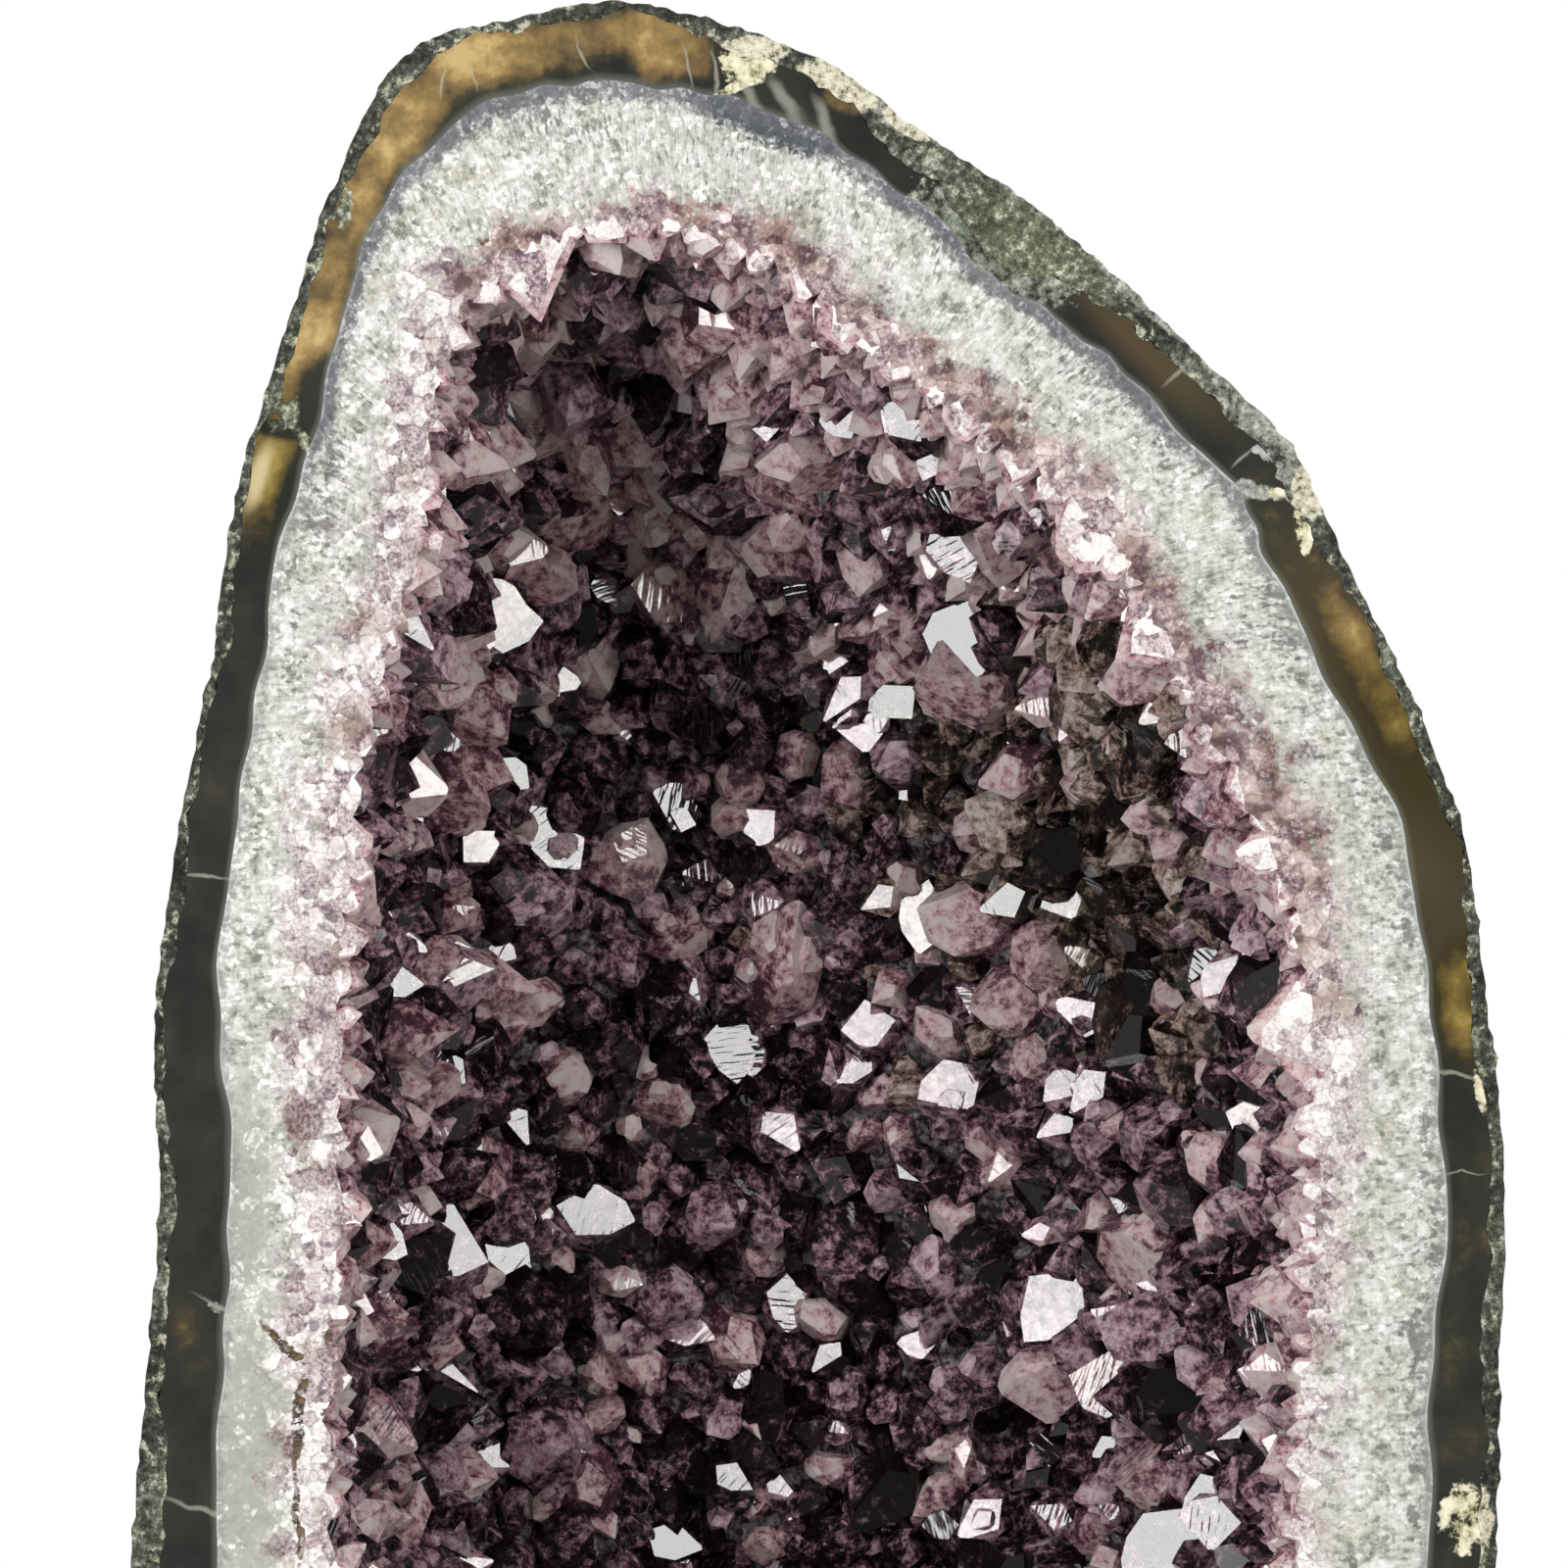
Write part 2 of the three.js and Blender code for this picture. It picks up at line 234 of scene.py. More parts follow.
# How near the rim a place in the hollow is: 1 at the rim, 0 deep in. It reaches further at the top.
def rimShare(turn, place):
    _, arm, length = rimArm(turn)
    right, up = (arm / length[:, None]).T
    reach = boundaries["paleReach"] * (1 + 0.5 * np.maximum(up, 0) + 0.4 * np.maximum(right, 0))
    away = np.linalg.norm(place - crustPoint(turn, np.zeros(len(turn))), axis=1)
    return 1 - smoothStep(0, 1, (away - boundaries["rootDepth"]) / reach)


# One closed layer, from a sphere: its lower half becomes the outside, a belt the sawn front, and its
# upper half the inside.
def makeShell(name, columns, rings, outside, inside, shares, startAngle=0.0):
    deselectAll()
    outerRings, frontRings, innerRings = rings
    ringCount = sum(rings)
    bpy.ops.mesh.primitive_uv_sphere_add(segments=columns, ring_count=ringCount, radius=1, calc_uvs=False)
    shell = bpy.context.object
    shell.name = shell.data.name = name
    mesh = shell.data
    ball = np.zeros(len(mesh.vertices) * 3)
    mesh.vertices.foreach_get("co", ball)
    ball = ball.reshape(-1, 3)
    ring = np.rint((np.arcsin(np.clip(ball[:, 2], -1, 1)) / math.pi + 0.5) * ringCount)
    turn = -np.arctan2(ball[:, 1], ball[:, 0]) / (2 * math.pi) % 1
    # Rings near the back stand closer in angle, because the surface lies flatter there.
    rightAngle = math.pi / 2
    outAngle = startAngle + (rightAngle - startAngle) * (1 - (np.minimum(ring / outerRings, 1)) ** 1.25)
    left = np.clip((ring - outerRings - frontRings) / innerRings, 0, 1)
    inAngle = startAngle + (rightAngle - startAngle) * (1 - (1 - left) ** 1.25)
    across = np.clip((ring - outerRings) / frontRings, 0, 1)
    place = outside(turn, outAngle) * (1 - across)[:, None] + inside(turn, inAngle) * across[:, None]
    mesh.vertices.foreach_set("co", place.ravel())
    shareAcross = shares[0] + (shares[1] - shares[0]) * across
    mapUvs(mesh, turn, shareAcross)
    mesh.update()
    return shell, {"turn": turn, "ring": ring, "across": across, "place": place, "outAngle": outAngle}


# Two UV maps: "grain" is in metres along and across the wall, "layers" says how far round and through.
def mapUvs(mesh, turn, share):
    corner = np.zeros(len(mesh.loops), int)
    mesh.loops.foreach_get("vertex_index", corner)
    start = np.zeros(len(mesh.polygons), int)
    total = np.zeros(len(mesh.polygons), int)
    mesh.polygons.foreach_get("loop_start", start)
    mesh.polygons.foreach_get("loop_total", total)
    rounds = ((turn - seamTurn) % 1)[corner]
    spans = np.maximum.reduceat(rounds, start) - np.minimum.reduceat(rounds, start) > 0.5
    rounds = np.where(np.repeat(spans, total) & (rounds < 0.5), rounds + 1, rounds)
    through = share[corner]
    wall = around(outline[:, 2:].sum(axis=1), turn)[corner]
    for name, values in (("grain", (rounds * 1.3, through * wall)), ("layers", (rounds, through))):
        layer = mesh.uv_layers.new(name=name)
        layer.data.foreach_set("uv", np.column_stack(values).ravel())


def sawFoot(piece):
    pickOnly(piece)
    bpy.ops.object.mode_set(mode="EDIT")
    bpy.ops.mesh.select_all(action="SELECT")
    bpy.ops.mesh.bisect(plane_co=(0, 0, 0), plane_no=(0, 0, 1), use_fill=True, clear_inner=True)
    bpy.ops.object.mode_set(mode="OBJECT")


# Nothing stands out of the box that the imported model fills.
def keepInBox(piece):
    low, high = [np.array(corner) for corner in cadBox]
    places = np.zeros(len(piece.data.vertices) * 3)
    piece.data.vertices.foreach_get("co", places)
    places = np.clip(places.reshape(-1, 3), low, high)
    piece.data.vertices.foreach_set("co", places.ravel())
    piece.data.update()


def fitToFrame(piece, node):
    keepInBox(piece)
    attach(piece, "root")
    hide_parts(node)
    print(piece.name, len(piece.data.polygons), "faces")


# Materials
def colour(code):
    channels = [int(code[i:i + 2], 16) / 255 for i in (1, 3, 5)]
    return [c / 12.92 if c <= 0.04045 else ((c + 0.055) / 1.055) ** 2.4 for c in channels] + [1]


def addNode(tree, kind, settings=None, links=None):
    node = tree.nodes.new("ShaderNode" + kind)
    for name, value in (settings or {}).items():
        if name == "ramp":
            stops = node.color_ramp.elements
            while len(stops) < len(value):
                stops.new(0.5)
            for stop, (place, shade) in zip(stops, value):
                stop.position = place
                stop.color = colour(shade)
        elif isinstance(name, str) and hasattr(node, name):
            setattr(node, name, value)
        else:
            node.inputs[name].default_value = value
    for name, source in (links or {}).items():
        tree.links.new(source, node.inputs[name])
    return node


def newMaterial(name):
    material = bpy.data.materials.new(name)
    material.use_nodes = True
    material.node_tree.nodes.clear()
    return material, material.node_tree


# How near a point is to the nearest of some places on the saw cut: 1 there, to 0 further off. A place is
# x, z, half width and half height in mm, and its turn in degrees if any.
def nearPlaces(tree, where, places):
    nearest = None
    for x, z, halfWidth, halfHeight, *turned in places:
        moved = addNode(tree, "Mapping", {
            "vector_type": "TEXTURE", "Location": (x * mm, sawPlane, z * mm),
            "Rotation": (0, -math.radians(sum(turned)), 0),
            "Scale": (halfWidth * mm, 14 * mm, halfHeight * mm)}, {"Vector": where})
        reach = addNode(tree, "VectorMath", {"operation": "LENGTH"}, {0: moved.outputs["Vector"]})
        near = addNode(tree, "MapRange", {"interpolation_type": "SMOOTHSTEP", 1: 1.5, 2: 0.3, 3: 0.0, 4: 1.0},
                       {0: reach.outputs["Value"]})
        if nearest:
            near = addNode(tree, "Math", {"operation": "MAXIMUM"}, {0: nearest, 1: near.outputs[0]})
        nearest = near.outputs[0]
    return nearest


# A thin place from one point of the saw cut to another.
def stroke(x1, z1, x2, z2, halfWidth):
    turned = math.degrees(math.atan2(z2 - z1, x2 - x1))
    return (x1 + x2) / 2, (z1 + z2) / 2, math.hypot(x2 - x1, z2 - z1) / 2, halfWidth, turned


# A soft share turned into a patch with a crumbly edge, and holes unless it is well filled.
def crumbly(tree, share, crumbs, filled=3):
    strong = addNode(tree, "Math", {"operation": "MULTIPLY_ADD", 1: filled, 2: -1}, {0: crumbs})
    both = addNode(tree, "Math", {"operation": "MULTIPLY"}, {0: share, 1: strong.outputs["Value"]})
    return addNode(tree, "MapRange", {1: 0.2, 2: 0.32, 3: 0.0, 4: 1.0}, {0: both.outputs["Value"]}).outputs[0]


def warped(tree, where, size, reach):
    noises = addNode(tree, "TexNoise", {"Scale": 1 / size, "Detail": 3}, {"Vector": where})
    centred = addNode(tree, "VectorMath", {"operation": "SUBTRACT", 1: (0.5, 0.5, 0.5)}, {0: noises.outputs["Color"]})
    return addNode(tree, "VectorMath", {"operation": "MULTIPLY_ADD", 1: (reach, reach, reach)},
                   {0: centred.outputs["Vector"], 2: where}).outputs["Vector"]


# Basalt, weathered: dark and dull, with grey-green grains and crumbs of cream and yellow-green zeolite.
rindLook = {
    "broad": 13 * mm, "grain": 1.3 * mm, "crumb": 4 * mm,
    "greyPlaces": [(46, 426, 20, 13, -42)],
    "palePlaces": [
        stroke(4, 471, 38, 449, 7), stroke(34, 450, 62, 428, 4.5), stroke(58, 430, 82, 406, 3.5),
        (97, 390, 16, 5, -48), (107, 374, 8, 5, -60), (20, 458, 10, 7, -28),
    ],
    "creamPlaces": [
        (4, 461, 9, 5, -30), (20, 453, 6, 2.5, -30), (62, 424, 6, 1.2, -42), (82, 407, 5, 1.2, -45),
        (143, 147, 5, 8),
        (-150, 190, 2, 7), (-151, 120, 3, 8), (-14, 469, 7, 3), (108, 372, 4, 6),
    ],
}


def weatheredBasalt():
    material, tree = newMaterial("weatheredBasalt")
    where = addNode(tree, "TexCoord").outputs["Object"]
    layers = addNode(tree, "UVMap", {"uv_map": "layers"}).outputs["UV"]
    through = addNode(tree, "SeparateXYZ", {}, {0: layers}).outputs["Y"]
    broad = addNode(tree, "TexNoise", {"Scale": 1 / rindLook["broad"], "Detail": 4, "Roughness": 0.6},
                    {"Vector": where})
    grains = addNode(tree, "TexNoise", {"Scale": 1 / rindLook["grain"], "Detail": 4, "Roughness": 0.7},
                     {"Vector": where})
    mixed = addNode(tree, "Mix", {"data_type": "FLOAT", 0: 0.55}, {
        2: broad.outputs["Fac"], 3: grains.outputs["Fac"]})
    stone = addNode(tree, "ValToRGB", {"ramp": [
        (0.38, "#0e0f0b"), (0.45, "#272922"), (0.52, "#44473d"), (0.59, "#75786a"), (0.67, "#c3c3b0")]},
        {"Fac": mixed.outputs[0]})
    crumbs = addNode(tree, "TexNoise", {"Scale": 1 / rindLook["crumb"], "Detail": 5, "Roughness": 0.68},
                     {"Vector": where})
    # More crumbs where the agate begins.
    nearAgate = addNode(tree, "MapRange", {1: 0.05, 2: 0.09, 3: 0.0, 4: 0.05}, {0: through})
    crumbLevel = addNode(tree, "Math", {"operation": "ADD"}, {
        0: crumbs.outputs["Fac"], 1: nearAgate.outputs["Result"]})
    isCrumb = addNode(tree, "MapRange", {1: 0.57, 2: 0.61, 3: 0.0, 4: 0.85}, {0: crumbLevel.outputs["Value"]})
    zeolite = addNode(tree, "ValToRGB", {"ramp": [
        (0.4, "#585b46"), (0.5, "#91937a"), (0.6, "#d3d1bb")]}, {"Fac": grains.outputs["Fac"]})
    crumbed = addNode(tree, "Mix", {"data_type": "RGBA"}, {
        0: isCrumb.outputs["Result"], 6: stone.outputs["Color"], 7: zeolite.outputs["Color"]})
    fine = addNode(tree, "Mix", {"data_type": "FLOAT", 0: 0.6}, {
        2: crumbs.outputs["Fac"], 3: grains.outputs["Fac"]})
    greyRock = addNode(tree, "ValToRGB", {"ramp": [
        (0.39, "#35372a"), (0.47, "#595d49"), (0.55, "#7e816a"), (0.61, "#cfcebd")]}, {"Fac": fine.outputs[0]})
    greyer = addNode(tree, "Mix", {"data_type": "RGBA"}, {
        0: nearPlaces(tree, where, rindLook["greyPlaces"]), 6: crumbed.outputs[2], 7: greyRock.outputs["Color"]})
    paleRock = addNode(tree, "ValToRGB", {"ramp": [
        (0.39, "#2f312a"), (0.46, "#6f7167"), (0.54, "#9b9b91"), (0.63, "#d2d0c6")]}, {"Fac": fine.outputs[0]})
    paleness = nearPlaces(tree, where, rindLook["palePlaces"])
    faded = addNode(tree, "Mix", {"data_type": "RGBA"}, {
        0: crumbly(tree, paleness, crumbs.outputs["Fac"], 4), 6: greyer.outputs[2], 7: paleRock.outputs["Color"]})
    cream = addNode(tree, "ValToRGB", {"ramp": [
        (0.34, "#4a4b38"), (0.42, "#aba58a"), (0.52, "#d6cfb8"), (0.64, "#ece6d4")]},
        {"Fac": grains.outputs["Fac"]})
    shade = addNode(tree, "Mix", {"data_type": "RGBA"}, {
        0: crumbly(tree, nearPlaces(tree, where, rindLook["creamPlaces"]), crumbs.outputs["Fac"], 3.6),
        6: faded.outputs[2], 7: cream.outputs["Color"]})
    relief = addNode(tree, "Math", {"operation": "MULTIPLY_ADD", 1: 1.5},
                     {0: crumbs.outputs["Fac"], 2: grains.outputs["Fac"]})
    bump = addNode(tree, "Bump", {"Strength": 0.7, "Distance": 1.4 * mm}, {"Height": relief.outputs["Value"]})
    skin = addNode(tree, "BsdfPrincipled", {"Roughness": 0.8, "Specular IOR Level": 0.4}, {
        "Base Color": shade.outputs[2], "Normal": bump.outputs["Normal"]})
    addNode(tree, "OutputMaterial", {}, {"Surface": skin.outputs["BSDF"]})
    return material


# Chalcedony, sawn and polished: dark and glassy smooth, honey-coloured in places, crossed by a few thin
# healed cracks.
agateLook = {
    "honeyPlaces": [
        (-68, 469, 26, 8), (-50, 471, 13, 7), (-33, 468, 13, 10), (-100, 437, 17, 32, -20),
        (-121, 392, 12, 36, -8), (-110, 415, 17, 24), stroke(112, 350, 131, 314, 5), (142, 262, 7, 13),
        (6, 458, 7, 4, -30),
    ],
    "brownPlaces": [(118, 338, 22, 32), (128, 310, 30, 45), (142, 268, 14, 18), (72, 404, 24, 5, -45)],
    "olivePlaces": [(142, 262, 10, 16), (-122, 378, 13, 22, -8), (128, 316, 9, 30, 30)],
    "shadePlaces": [stroke(-109, 402, -112, 384, 4), stroke(-108, 384, -125, 387, 2), (-113, 368, 5, 12)],
    "rockPlaces": [(33, 428, 16, 12, -45), (46, 426, 17, 12, -42), stroke(-134, 194, -121, 187, 1.6)],
    "patchPlaces": [(-118, 390, 4.5, 5), stroke(-115, 386, -107, 377, 1.8), (-105, 434, 3, 4)],
    "greyPlaces": [stroke(88, 374, 104, 371, 2.4), stroke(96, 382, 104, 378, 1.2)],
    "creamPlaces": [
        (-16, 466, 7, 5), stroke(-24, 458, -12, 464, 1.5), stroke(99, 372, 106, 370, 2),
        stroke(105, 370, 108, 358, 2), (142, 147, 6, 8), stroke(144, 245, 147, 234, 1.2),
    ],
    "wisps": [stroke(-18, 463, -13, 455, 1.3), stroke(-10, 463, -4, 453, 1.6), stroke(-1, 458, 3, 449, 1.3)],
    "cracks": [
        stroke(-82, 466, -82, 458, 0.3), stroke(-76, 467, -75, 461, 0.3), stroke(-53, 471, -50, 465, 0.3),
        stroke(-30, 470, -28, 461, 0.35), stroke(-23, 469, -23, 458, 0.5), stroke(76, 396, 83, 403, 0.5),
        stroke(91, 378, 96, 382, 0.4), stroke(93, 370, 104, 371, 0.7), stroke(134, 246, 146, 243, 0.5),
        stroke(137, 223, 147, 223, 0.25), stroke(-139, 288, -129, 287, 0.4), stroke(-143, 152, -126, 146, 0.6),
        stroke(-136, 195, -120, 186, 0.5),
    ],
}


def polishedAgate():
    material, tree = newMaterial("polishedAgate")
    where = addNode(tree, "TexCoord").outputs["Object"]
    layers = addNode(tree, "UVMap", {"uv_map": "layers"}).outputs["UV"]
    through = addNode(tree, "SeparateXYZ", {}, {0: layers}).outputs["Y"]
    clouds = addNode(tree, "TexNoise", {"Scale": 55, "Detail": 5, "Roughness": 0.62}, {"Vector": where})
    dark = addNode(tree, "ValToRGB", {"ramp": [
        (0.3, "#1b1d1b"), (0.48, "#272924"), (0.6, "#303129"), (0.72, "#403e33")]},
        {"Fac": clouds.outputs["Fac"]})
    honey = nearPlaces(tree, where, agateLook["honeyPlaces"])
    brown = nearPlaces(tree, where, agateLook["brownPlaces"])
    darkBrown = addNode(tree, "Mix", {"data_type": "RGBA", 7: colour("#4a402c")}, {
        0: brown, 6: dark.outputs["Color"]})
    towardsQuartz = addNode(tree, "MapRange", {1: 0.3, 2: 0.4, 3: 0.0, 4: 0.45}, {0: through})
    shaded = nearPlaces(tree, where, agateLook["shadePlaces"])
    darker = addNode(tree, "Math", {"operation": "ADD"}, {0: towardsQuartz.outputs["Result"], 1: shaded})
    fading = addNode(tree, "Math", {"operation": "SUBTRACT"}, {0: honey, 1: darker.outputs["Value"]})
    uneven = addNode(tree, "Math", {"operation": "MULTIPLY_ADD", 1: 3.4},
                     {0: clouds.outputs["Fac"], 2: fading.outputs["Value"]})
    isHoney = addNode(tree, "MapRange", {1: 1.8, 2: 3.1, 3: 0.0, 4: 1.0}, {0: uneven.outputs["Value"]})
    amber = addNode(tree, "ValToRGB", {"ramp": [
        (0.0, "#25241d"), (0.3, "#463d2a"), (0.55, "#6e5b3a"), (0.78, "#92784a"), (1.0, "#bda26d")]},
        {"Fac": isHoney.outputs["Result"]})
    blend = addNode(tree, "MapRange", {1: 0.05, 2: 0.4, 3: 0.0, 4: 1.0}, {0: isHoney.outputs["Result"]})
    tawny = addNode(tree, "Mix", {"data_type": "RGBA"}, {
        0: blend.outputs["Result"], 6: darkBrown.outputs[2], 7: amber.outputs["Color"]})
    warm = addNode(tree, "Mix", {"data_type": "RGBA", "blend_type": "MULTIPLY", 7: colour("#c3c69f")}, {
        0: nearPlaces(tree, where, agateLook["olivePlaces"]), 6: tawny.outputs[2]})
    # It lets some of the pale quartz show through where it is thin.
    haze = addNode(tree, "MapRange", {1: 0.36, 2: 0.4, 3: 0.0, 4: 0.45}, {0: through})
    hazy = addNode(tree, "Mix", {"data_type": "RGBA", 7: colour("#7b7e76")}, {
        0: haze.outputs["Result"], 6: warm.outputs[2]})
    # Where the rock outside reaches in, and grains, crumbs and pale wisps that the agate closed round.
    crumbs = addNode(tree, "TexNoise", {"Scale": 300, "Detail": 5, "Roughness": 0.7}, {"Vector": where})
    bent = warped(tree, where, 9 * mm, 5 * mm)
    shade = hazy.outputs[2]
    for places, ramp in (
            ("rockPlaces", [(0.35, "#2a2e26"), (0.46, "#575c50"), (0.56, "#82877a"), (0.68, "#c6c5b5")]),
            ("patchPlaces", [(0.4, "#1c1e19"), (0.5, "#4b4e41"), (0.58, "#83866f"), (0.66, "#cbcab6")]),
            ("greyPlaces", [(0.35, "#3b3d3a"), (0.48, "#7b7d78"), (0.6, "#b5b6b0")]),
            ("creamPlaces", [(0.35, "#55553d"), (0.45, "#a19d7c"), (0.54, "#d8d1b3"), (0.66, "#efe8d2")])):
        patch = addNode(tree, "ValToRGB", {"ramp": ramp}, {"Fac": crumbs.outputs["Fac"]})
        share = crumbly(tree, nearPlaces(tree, bent, agateLook[places]), crumbs.outputs["Fac"])
        shade = addNode(tree, "Mix", {"data_type": "RGBA"}, {
            0: share, 6: shade, 7: patch.outputs["Color"]}).outputs[2]
    glow = [stroke(-121, 382, -125, 368, 2.2)]   # a cream glow deep in it
    for places, strength, code in ((glow, 0.9, "#c6b68a"), (agateLook["wisps"], 0.55, "#a5a498"),
                                   (agateLook["cracks"], 0.5, "#b0ae9e")):
        near = nearPlaces(tree, bent, places)
        seen = addNode(tree, "Math", {"operation": "MULTIPLY", 1: strength}, {0: near})
        shade = addNode(tree, "Mix", {"data_type": "RGBA", 7: colour(code)}, {
            0: seen.outputs["Value"], 6: shade}).outputs[2]
    polish = addNode(tree, "BsdfPrincipled", {"Roughness": 0.24, "IOR": 1.54}, {"Base Color": shade})
    addNode(tree, "OutputMaterial", {}, {"Surface": polish.outputs["BSDF"]})
    return material


# Each grain of a grainy stone has a flat face of its own tilt. This is the height of those faces, in metres.
def tiltedFaces(tree, where, grains):
    fromMiddle = addNode(tree, "VectorMath", {"operation": "SUBTRACT"}, {0: where, 1: grains.outputs["Position"]})
    tilt = addNode(tree, "VectorMath", {"operation": "SUBTRACT", 1: (0.5, 0.5, 0.5)}, {0: grains.outputs["Color"]})
    return addNode(tree, "VectorMath", {"operation": "DOT_PRODUCT"}, {
        0: fromMiddle.outputs["Vector"], 1: tilt.outputs["Vector"]}).outputs["Value"]


# Where quartz turns to amethyst: grown-together crystals in cross-section, dusty pink to white. Where they
# are sawn, they also show violet spots, brown stains and dark joints.
pinkLook = {
    "crystal": 3.8 * mm, "grain": 0.8 * mm, "stain": 12 * mm, "spot": 3.5 * mm,
    "duskPlaces": [(-30, 425, 50, 18), (40, 395, 45, 20, -35), (84, 345, 30, 30), (100, 300, 22, 40)],
}


def pinkMosaic(tree, where, sawn=True):
    bent = addNode(tree, "TexNoise", {"Scale": 260, "Detail": 2}, {"Vector": where})
    moved = addNode(tree, "VectorMath", {"operation": "MULTIPLY_ADD", 1: (0.004, 0.004, 0.004)},
                    {0: bent.outputs["Color"], 2: where})
    crystals = addNode(tree, "TexVoronoi", {"Scale": 1 / pinkLook["crystal"]}, {"Vector": moved.outputs["Vector"]})
    grains = addNode(tree, "TexNoise", {"Scale": 1 / pinkLook["grain"], "Detail": 3, "Roughness": 0.75},
                     {"Vector": where})
    own = addNode(tree, "SeparateXYZ", {}, {0: crystals.outputs["Color"]}).outputs["X"]
    mixed = addNode(tree, "Math", {"operation": "MULTIPLY_ADD", 1: 0.4}, {0: own, 2: grains.outputs["Fac"]})
    pink = addNode(tree, "ValToRGB", {"ramp": [
        (0.42, "#6b555e"), (0.54, "#ae9aa0"), (0.66, "#cfc2c2"), (0.78, "#e2dad7"), (0.92, "#f6f2f0")]},
        {"Fac": mixed.outputs["Value"]})
    faces = tiltedFaces(tree, moved.outputs["Vector"], crystals)
    if not sawn:
        return pink.outputs["Color"], faces
    joints = addNode(tree, "TexVoronoi", {"Scale": 1 / pinkLook["crystal"], "feature": "DISTANCE_TO_EDGE"},
                     {"Vector": moved.outputs["Vector"]})
    broad = addNode(tree, "TexNoise", {"Scale": 1 / pinkLook["stain"], "Detail": 3}, {"Vector": where})
    spots = addNode(tree, "TexNoise", {"Scale": 1 / pinkLook["spot"], "Detail": 2}, {"Vector": where})
    dusk = nearPlaces(tree, where, pinkLook["duskPlaces"])
    spotLevel = addNode(tree, "Math", {"operation": "MULTIPLY_ADD", 1: 0.09}, {0: dusk, 2: spots.outputs["Fac"]})
    isSpot = addNode(tree, "MapRange", {1: 0.57, 2: 0.68, 3: 0.0, 4: 0.75}, {0: spotLevel.outputs["Value"]})
    spotted = addNode(tree, "Mix", {"data_type": "RGBA", 7: colour("#6b5163")}, {
        0: isSpot.outputs["Result"], 6: pink.outputs["Color"]})
    stainLevel = addNode(tree, "Math", {"operation": "MULTIPLY_ADD", 1: 0.1}, {0: dusk, 2: broad.outputs["Fac"]})
    isStain = addNode(tree, "MapRange", {1: 0.5, 2: 0.68, 3: 0.0, 4: 0.85}, {0: stainLevel.outputs["Value"]})
    dusky = addNode(tree, "Mix", {"data_type": "RGBA", "blend_type": "MULTIPLY", 7: colour("#e6d8d6")}, {
        0: dusk, 6: spotted.outputs[2]})
    stained = addNode(tree, "Mix", {"data_type": "RGBA", "blend_type": "MULTIPLY", 7: colour("#a68f83")}, {
        0: isStain.outputs["Result"], 6: dusky.outputs[2]})
    isJoint = addNode(tree, "MapRange", {1: 0.06, 2: 0.0, 3: 0.0, 4: 0.45}, {0: joints.outputs["Distance"]})
    jointed = addNode(tree, "Mix", {"data_type": "RGBA", 7: colour("#4d3a3c")}, {
        0: isJoint.outputs["Result"], 6: stained.outputs[2]})
    return jointed.outputs[2], faces


# Milky quartz, sawn: white and sugary, of columns that grew inwards, with a grey glassy seam against the
# agate, and pink where the columns end in amethyst.
quartzLook = {
    "column": 1.1 * mm, "lump": 2.2 * mm, "sugar": 1.2 * mm, "cluster": 8 * mm, "speck": 1.7 * mm,
    "darkPlaces": [
        (-12, 451, 20, 8), (28, 434, 24, 10, -30), (72, 400, 40, 22, -45), (101, 348, 16, 30), (122, 300, 14, 34),
        (-62, 452, 26, 7), (-108, 372, 8, 30), (134, 190, 9, 60),
    ],
    "glassPlaces": [(-12, 453, 18, 5, -20), (-112, 391, 3, 12, -12), stroke(60, 416, 96, 372, 2.5)],
    "whitePlaces": [   # here the pink starts further in
        (135, 130, 40, 120), (40, 412, 46, 16, -38), (92, 360, 16, 40, 30), (-60, 440, 44, 14),
    ],
    "smoothPlaces": [(-124, 160, 11, 42), (-126, 215, 6, 30)],
    "brownPlaces": [
        stroke(-123, 190, -112, 180, 1.1), stroke(-113, 180, -115, 158, 1.4), stroke(-115, 160, -113, 130, 0.9),
        stroke(-109, 171, -98, 168, 2.2), stroke(-104, 177, -98, 180, 1.1), (-106, 187, 3, 1.6),
    ],
}


